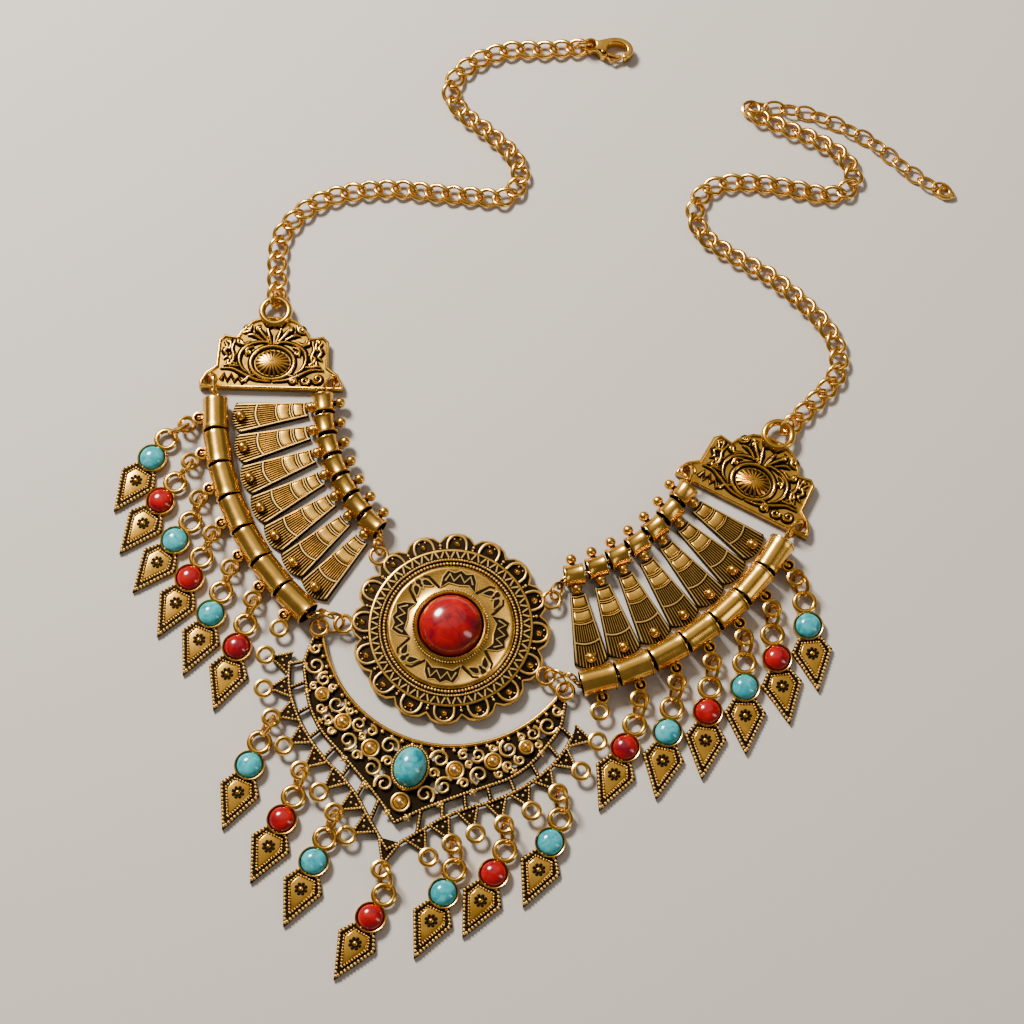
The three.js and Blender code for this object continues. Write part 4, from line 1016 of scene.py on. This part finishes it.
def plate_parts():
    rim = mirrored(PLATE_OUTLINE)
    eyes = [(s * CORNER_EYE[0], CORNER_EYE[1]) for s in (-1, 1)]
    holes = [ringed(*eye, 1.5, 1.5, 16) for eye in eyes]
    parts = [plate_metal([rim, *holes], 0.0, 1.75, 0.2, 0, [(0, 0.6), (0.8, 0.2), (1.75, 0.24)])]
    inset = mirrored([(x - 0.45 if x > 0.5 else x, y * 0.975 + 0.35) for x, y in PLATE_OUTLINE])
    parts.append(wires([inset], 0.5, z=1.85, closed=True, sides=8, tarnish_and_shade=[(1.4, 0.8), (1.9, 0.0)]))
    parts += [(ring(1.75, 0.36, 22, 8), at(*eye, 1.75)) for eye in eyes]
    dome = turned(
        [(0, 0.8, 1), (1.0, 0.8, 1), (1.0, 1.7, 1), (0.96, 2.05, 1), (0.8, 2.45, 0.9), (0.5, 2.75, 0.8),
         (0.2, 2.9, 0.6), (0, 2.92, 0.5)],
        40,
    )
    parts.append((dome, at(0, BOSS_Y) @ stretched(4.6, 3.6, 1)))
    flutes = []
    for i in range(20):
        a = math.radians(18 * i + 9)
        line = []
        for share, z in ((0.12, 2.88), (0.45, 2.75), (0.75, 2.42), (0.95, 1.95)):
            x, y = 4.6 * share * math.cos(a), BOSS_Y + 3.6 * share * math.sin(a)
            line.append((x, y, z, 0.4 + 0.95 * share))
        flutes.append(line)
    parts.append(wires(flutes, 0.34, tarnish_and_shade=[(1.9, 0.6), (2.3, 0.0)]))
    boss_ring = [ringed(0, BOSS_Y, 5.75, 4.75, 36)]
    parts.append(wires(boss_ring, 0.5, z=2.0, closed=True, sides=8, tarnish_and_shade=[(1.7, 1.0), (2.1, 0.0)]))
    paths = [[(-13.2, 2.1), (-12.5, 3.9), (-11.6, 2.0), (-10.7, 3.8), (-9.7, 1.9), (-8.8, 3.2), (-7.7, 1.6),
              (-6.7, 2.5)]]
    for spot in ((12.2, 3.0, 1.3, 200, 1), (8.9, 2.4, 1.2, 20, -1), (5.7, 2.2, 0.8, 90, 1)):
        paths.append(scroll(1, *spot, 0, 1.15))
    shapes = [
        [(14.4, 5.3), (11, 5.3), (7.6, 3.6), (4, 2.1), (0.3, 1.6)],
        [(0.7, 12.9), (2.6, 13.6), (5.8, 13.0), (8.6, 11.0), (9.3, 8.0), (8.2, 5.4), (6.6, 4.3)],
        [(0.6, 12.9), (1.3, 15.4), (1.9, 17.6)],
        [(1.4, 13.7), (3.4, 16.2), (5.2, 18.6)],
        [(3.3, 14.2), (5.7, 15.6), (7.4, 15.5)],
        [(10.9, 13.4), (11.4, 11.2), (10.8, 9.0), (11.5, 6.9), (13.6, 6.2)],
        [(13.7, 13.6), (12.7, 11.9), (13.5, 10.6), (12.7, 9.2), (13.8, 8.1)],
        [(5.4, 12.1), (7.3, 11.2), (7.4, 9.2)],
        [(0.0, 19.6), (1.3, 18.4), (3.0, 19.7)],
        [(6.3, 18.6), (7.0, 16.8), (8.7, 16.2)],
        [(9.3, 13.9), (8.3, 12.6), (6.2, 13.9)],
        [(12.0, 13.9), (12.0, 11.4), (14.0, 11.9)],
        [(4.0, 3.9), (6.4, 2.9), (7.2, 1.3)],
        [(9.9, 9.9), (11.9, 8.6), (10.3, 6.6)],
        [(12.3, 7.9), (12.0, 6.4), (9.3, 6.1)],
    ]
    for s in (-1, 1):
        for shape in shapes:
            line = smoothed([(0.95 * x, 8 + 0.95 * (y - 8)) for x, y in shape], 4)
            last = len(line) - 1
            paths.append([(s * p.x, p.y, 0, 1.15 - 0.5 * abs(2 * i / last - 1)) for i, p in enumerate(line)])
        for spot in ((8.9, 13.3, 0.8, 200, 1), (4.1, 16.9, 0.7, 120, -1), (6.9, 17.1, 0.7, 330, 1),
                     (6.3, 10.2, 0.6, 30, -1), (11.9, 13.4, 0.5, 90, 1)):
            paths.append(scroll(s, *spot, 0, 1.0))
    parts.append(wires(paths, 1.02, z=1.28, tarnish_and_shade=1.0, sides=10))
    parts.append(wires(boss_ring, 1.12, z=1.2, closed=True, sides=10, tarnish_and_shade=1.0))
    parts.append(wires(paths, 0.34, z=2.24, tarnish_and_shade=[(2.16, 1.0), (2.34, 0.0)], sides=8))
    parts.append((ring(3.6, 0.95, 40, 12), at(0, TOP_RING_Y, 2.45)))
    return parts


def plate_place(side):
    return at(*arm_point(side, PLATE_MIDDLE_R, PLATE_ANGLE), 0, -side * PLATE_TURN)


plate = gather(plate_parts())
for side, label in ((-1, "left"), (1, "right")):
    set_piece(f"plate_{label}", [(plate, plate_place(side))], [polished, rubbed_lit_gold])


# Link strands inside the tubes and spools


def plate_spot(side, u, v):
    spot = plate_place(side) @ Vector((u, v, 0))
    return (spot.x, spot.y)


def laid(p, direction, z):
    """The place of a link on a path, turned along it."""
    return at(p.x, p.y, z, bearing(direction.x, direction.y))


def arm_line(side, radius, lag, z):
    """The middles of an arm's tubes or spools."""
    return [(*arm_point(side, radius, FIRST_ANGLE + STEP_ANGLE * i - lag), z) for i in range(PER_ARM)]


small_link = ring(0.95, 0.3, 16, 6, 0.1)
plate_link = ring(2.25, 0.45, 24, 8, BRIGHT)
tip_link = ring(3.2, 0.48, 30, 8, BRIGHT)
inner_link = ring(2.2, 0.45, 24, 8, BRIGHT)


def strand(path):
    parts = []
    stretch = stretched(1.35, 0.8, 1)
    for i, (p, direction) in enumerate(spaced(smoothed(path, 6), 1.9)):
        lean = rolled(45 if i % 2 else -45)
        parts.append((small_link, laid(p, direction, p.z) @ lean @ stretch))
    return parts


tube_half = math.degrees(TUBE_HALF / OUTER_R)
spool_half = math.degrees(SPOOL_HALF / INNER_R)
last = FIRST_ANGLE + STEP_ANGLE * (PER_ARM - 1)
for side, label in ((-1, "left"), (1, "right")):
    start = arm_point(side, OUTER_R, FIRST_ANGLE - tube_half - 0.6)
    corner = plate_spot(side, side * CORNER_EYE[0], CORNER_EYE[1])
    top, far = link_towards(corner, start, 2.25, 2.64, -side * 71, -0.45)
    x, y = turned_by(*SIDE_LOOP)
    tip = (side * TIP_LOOP[0], TIP_LOOP[1])
    join, _ = link_towards((side * x, y), tip, 3.2, 3.3, side * LINK_TILT, 0.1)
    end = arm_point(side, OUTER_R, last + tube_half)
    path = [(*far, 2.4), (*start, 1.8), *arm_line(side, OUTER_R, 0, 1.8)]
    path += [(*end, 2.2), (side * 32.6, -5.1, 4.4), (side * 29.9, -5.9, 5.8)]
    parts = [(plate_link, top), (tip_link, join), *strand(path)]
    set_piece(f"core_outer_{label}", parts, [chain_metal])
    start = arm_point(side, INNER_R, FIRST_ANGLE - SPOOL_LAG - spool_half)
    corner = plate_spot(side, -side * CORNER_EYE[0], CORNER_EYE[1])
    top, far = link_towards(corner, start, 2.25, 2.64, side * 71, -0.45)
    x, y = turned_by(*UPPER_LOOP)
    end = arm_point(side, INNER_R, last - SPOOL_LAG + spool_half)
    foot, foot_far = link_towards((side * x, y), end, 2.2, 2.42, LINK_TILT, 0.3)
    path = [(*far, 2.4), (*start, 1.7), *arm_line(side, INNER_R, SPOOL_LAG, 1.7)]
    path += [(*end, 1.7), (*foot_far, 2.4)]
    parts = [(plate_link, top), (inner_link, foot), *strand(path)]
    set_piece(f"core_inner_{label}", parts, [chain_metal])


# Chains of twisted curb links


def curb_link():
    """One closed link, its ends twisted so that the chain lies flat."""
    path = []
    for i in range(32):
        around = 2 * math.pi * i / 32
        twist = math.radians(48) * math.cos(around)
        across = 2.3 * math.sin(around)
        path.append((3.2 * math.cos(around), across * math.cos(twist), across * math.sin(twist)))
    return wires([path], 0.62, closed=True, sides=8, tarnish_and_shade=[(-2.4, 0.5), (-0.6, 0.05)])


curb = curb_link()
clasp_ring = ring(2.1, 0.42, 26, 8, BRIGHT)
hanger = ring(2.2, 0.55, 26, 8, BRIGHT)
end_ring = ring(2.3, 0.5, 28, 8, BRIGHT)


def curb_run(path):
    flat = stretched(1, 1, 0.62)
    run = spaced(smoothed(path, 8), CURB_PITCH)
    return [(curb, laid(p, direction, 1.55) @ flat @ rolled(24)) for p, direction in run]


def plate_ring_link(side, first):
    """The link that hangs the chain in the plate's big ring, and where the chain starts."""
    return link_towards(plate_spot(side, 0, TOP_RING_Y), first, 2.2, 2.6, 65, 1.25)


place, far = plate_ring_link(-1, CHAIN_LEFT[0])
left_ring, _ = leaning_link(CLASP_AT[0] + 0.3, CLASP_AT[1] - 0.2, 2.5, 2.1, CLASP_TURN + 186, 74)
parts = [(hanger, place), (clasp_ring, left_ring), *curb_run([far] + CHAIN_LEFT[1:])]
set_piece("chain_left", parts, [chain_metal])

place, far = plate_ring_link(1, CHAIN_RIGHT[0])
oval_link = wires([ringed(0, 0, 2.75, 1.8, 22)], 0.4, closed=True, sides=8, tarnish_and_shade=BRIGHT)
parts = [(hanger, place), (end_ring, at(*END_RING_AT)), *curb_run([far] + CHAIN_RIGHT[1:])]
for i, (p, direction) in enumerate(spaced(smoothed(EXTENDER, 8), EXTENDER_PITCH)):
    parts.append((oval_link, laid(p, direction, 0.98) @ rolled(17 if i % 2 else -17)))
tag_outline = [(-0.4, -1.2), (0.6, -2.0), (2.2, -2.1), (3.8, -1.2), (4.7, 0), (3.8, 1.2), (2.2, 2.1),
               (0.6, 2.0), (-0.4, 1.2)]
tag = plate_metal([tag_outline, ringed(1.6, 0, 0.9, 0.9, 14)], 0.05, 1.35, 0.45, 2, BRIGHT)
parts.append((tag, at(95, 154.8, 0, -18)))
set_piece("chain_right", parts, [chain_metal])

# Lobster clasp

on_clasp = at(*CLASP_AT, 0, CLASP_TURN)
hook_outlines = [closed_line(CLASP_OUTLINE, 4), ringed(0, 0, 1.4, 1.4, 20)]
hook = plate_metal(hook_outlines, 0.15, 3.05, 0.42, 3, [(0.1, 0.4), (1.5, 0.0)])
pin = turned([(0, -1.45, 0), (0.5, -1.45, 0.2), (0.5, 1.45, 0.2), (0.3, 1.6, 0), (0, 1.62, 0)], 18)
parts = [(hook, on_clasp), (pin, on_clasp @ at(*LEVER_PIN, 1.6))]
set_piece("clasp_body", parts, [chain_metal])
lever_outlines = [closed_line(LEVER_OUTLINE, 3), ringed(*LEVER_PIN, 0.72, 0.72, 16)]
lever = plate_metal(lever_outlines, 0.9, 2.3, 0.3, 2, BRIGHT)
set_piece("clasp_lever", [(lever, on_clasp)], [chain_metal], body="lever")


# Floor, light and camera


def make_floor():
    bm = bmesh.new()
    bmesh.ops.create_grid(bm, x_segments=2, y_segments=2, size=1.6)
    mesh = bpy.data.meshes.new("floor")
    bm.to_mesh(mesh)
    bm.free()
    mesh.transform(Matrix.Translation((0, 0.04, -0.0001)))
    material, _, _, shader = new_finish("pale_floor")
    set_inputs(shader, {"Base Color": (0.55, 0.505, 0.46, 1), "Roughness": 0.85})
    mesh.materials.append(material)
    floor = add_object("floor", mesh)


def soft_light(name, direction, distance, size, power, colour):
    lamp = bpy.data.lights.new(name, "AREA")
    lamp.shape = "ELLIPSE"
    lamp.size, lamp.size_y = size
    lamp.energy = power
    lamp.color = colour
    holder = add_object(name, lamp)
    direction = Vector(direction).normalized()
    holder.location = Vector(LOOK_AT) + direction * distance
    holder.rotation_mode = "QUATERNION"
    holder.rotation_quaternion = direction.to_track_quat("Z", "Y")


make_floor()
soft_light("key", (-1.1, 0.8, 1.35), 0.95, (0.26, 0.26), 21, (1.0, 0.95, 0.87))
soft_light("overhead_card", (-0.25, 0.6, 1.15), 1.0, (1.5, 1.1), 1.5, (1.0, 0.93, 0.82))
soft_light("side_fill", (1.3, -0.2, 0.9), 0.95, (0.2, 0.7), 1.6, (1.0, 0.93, 0.85))

world = bpy.data.worlds.new("studio")
world.use_nodes = True
set_inputs(world.node_tree.nodes["Background"], {"Color": (0.5, 0.47, 0.44, 1), "Strength": 0.3})
bpy.context.scene.world = world

camera_data = bpy.data.cameras.new("camera")
camera_data.lens = 80
camera_data.sensor_width = 36
camera_data.clip_start = 0.05
camera = add_object("camera", camera_data)
turn, rise = math.radians(AZIMUTH), math.radians(ELEVATION)
back = Vector((math.sin(turn) * math.cos(rise), -math.cos(turn) * math.cos(rise), math.sin(rise)))
camera.location = Vector(LOOK_AT) + back * DISTANCE
camera.rotation_mode = "QUATERNION"
camera.rotation_quaternion = back.to_track_quat("Z", "Y")
bpy.context.scene.camera = camera
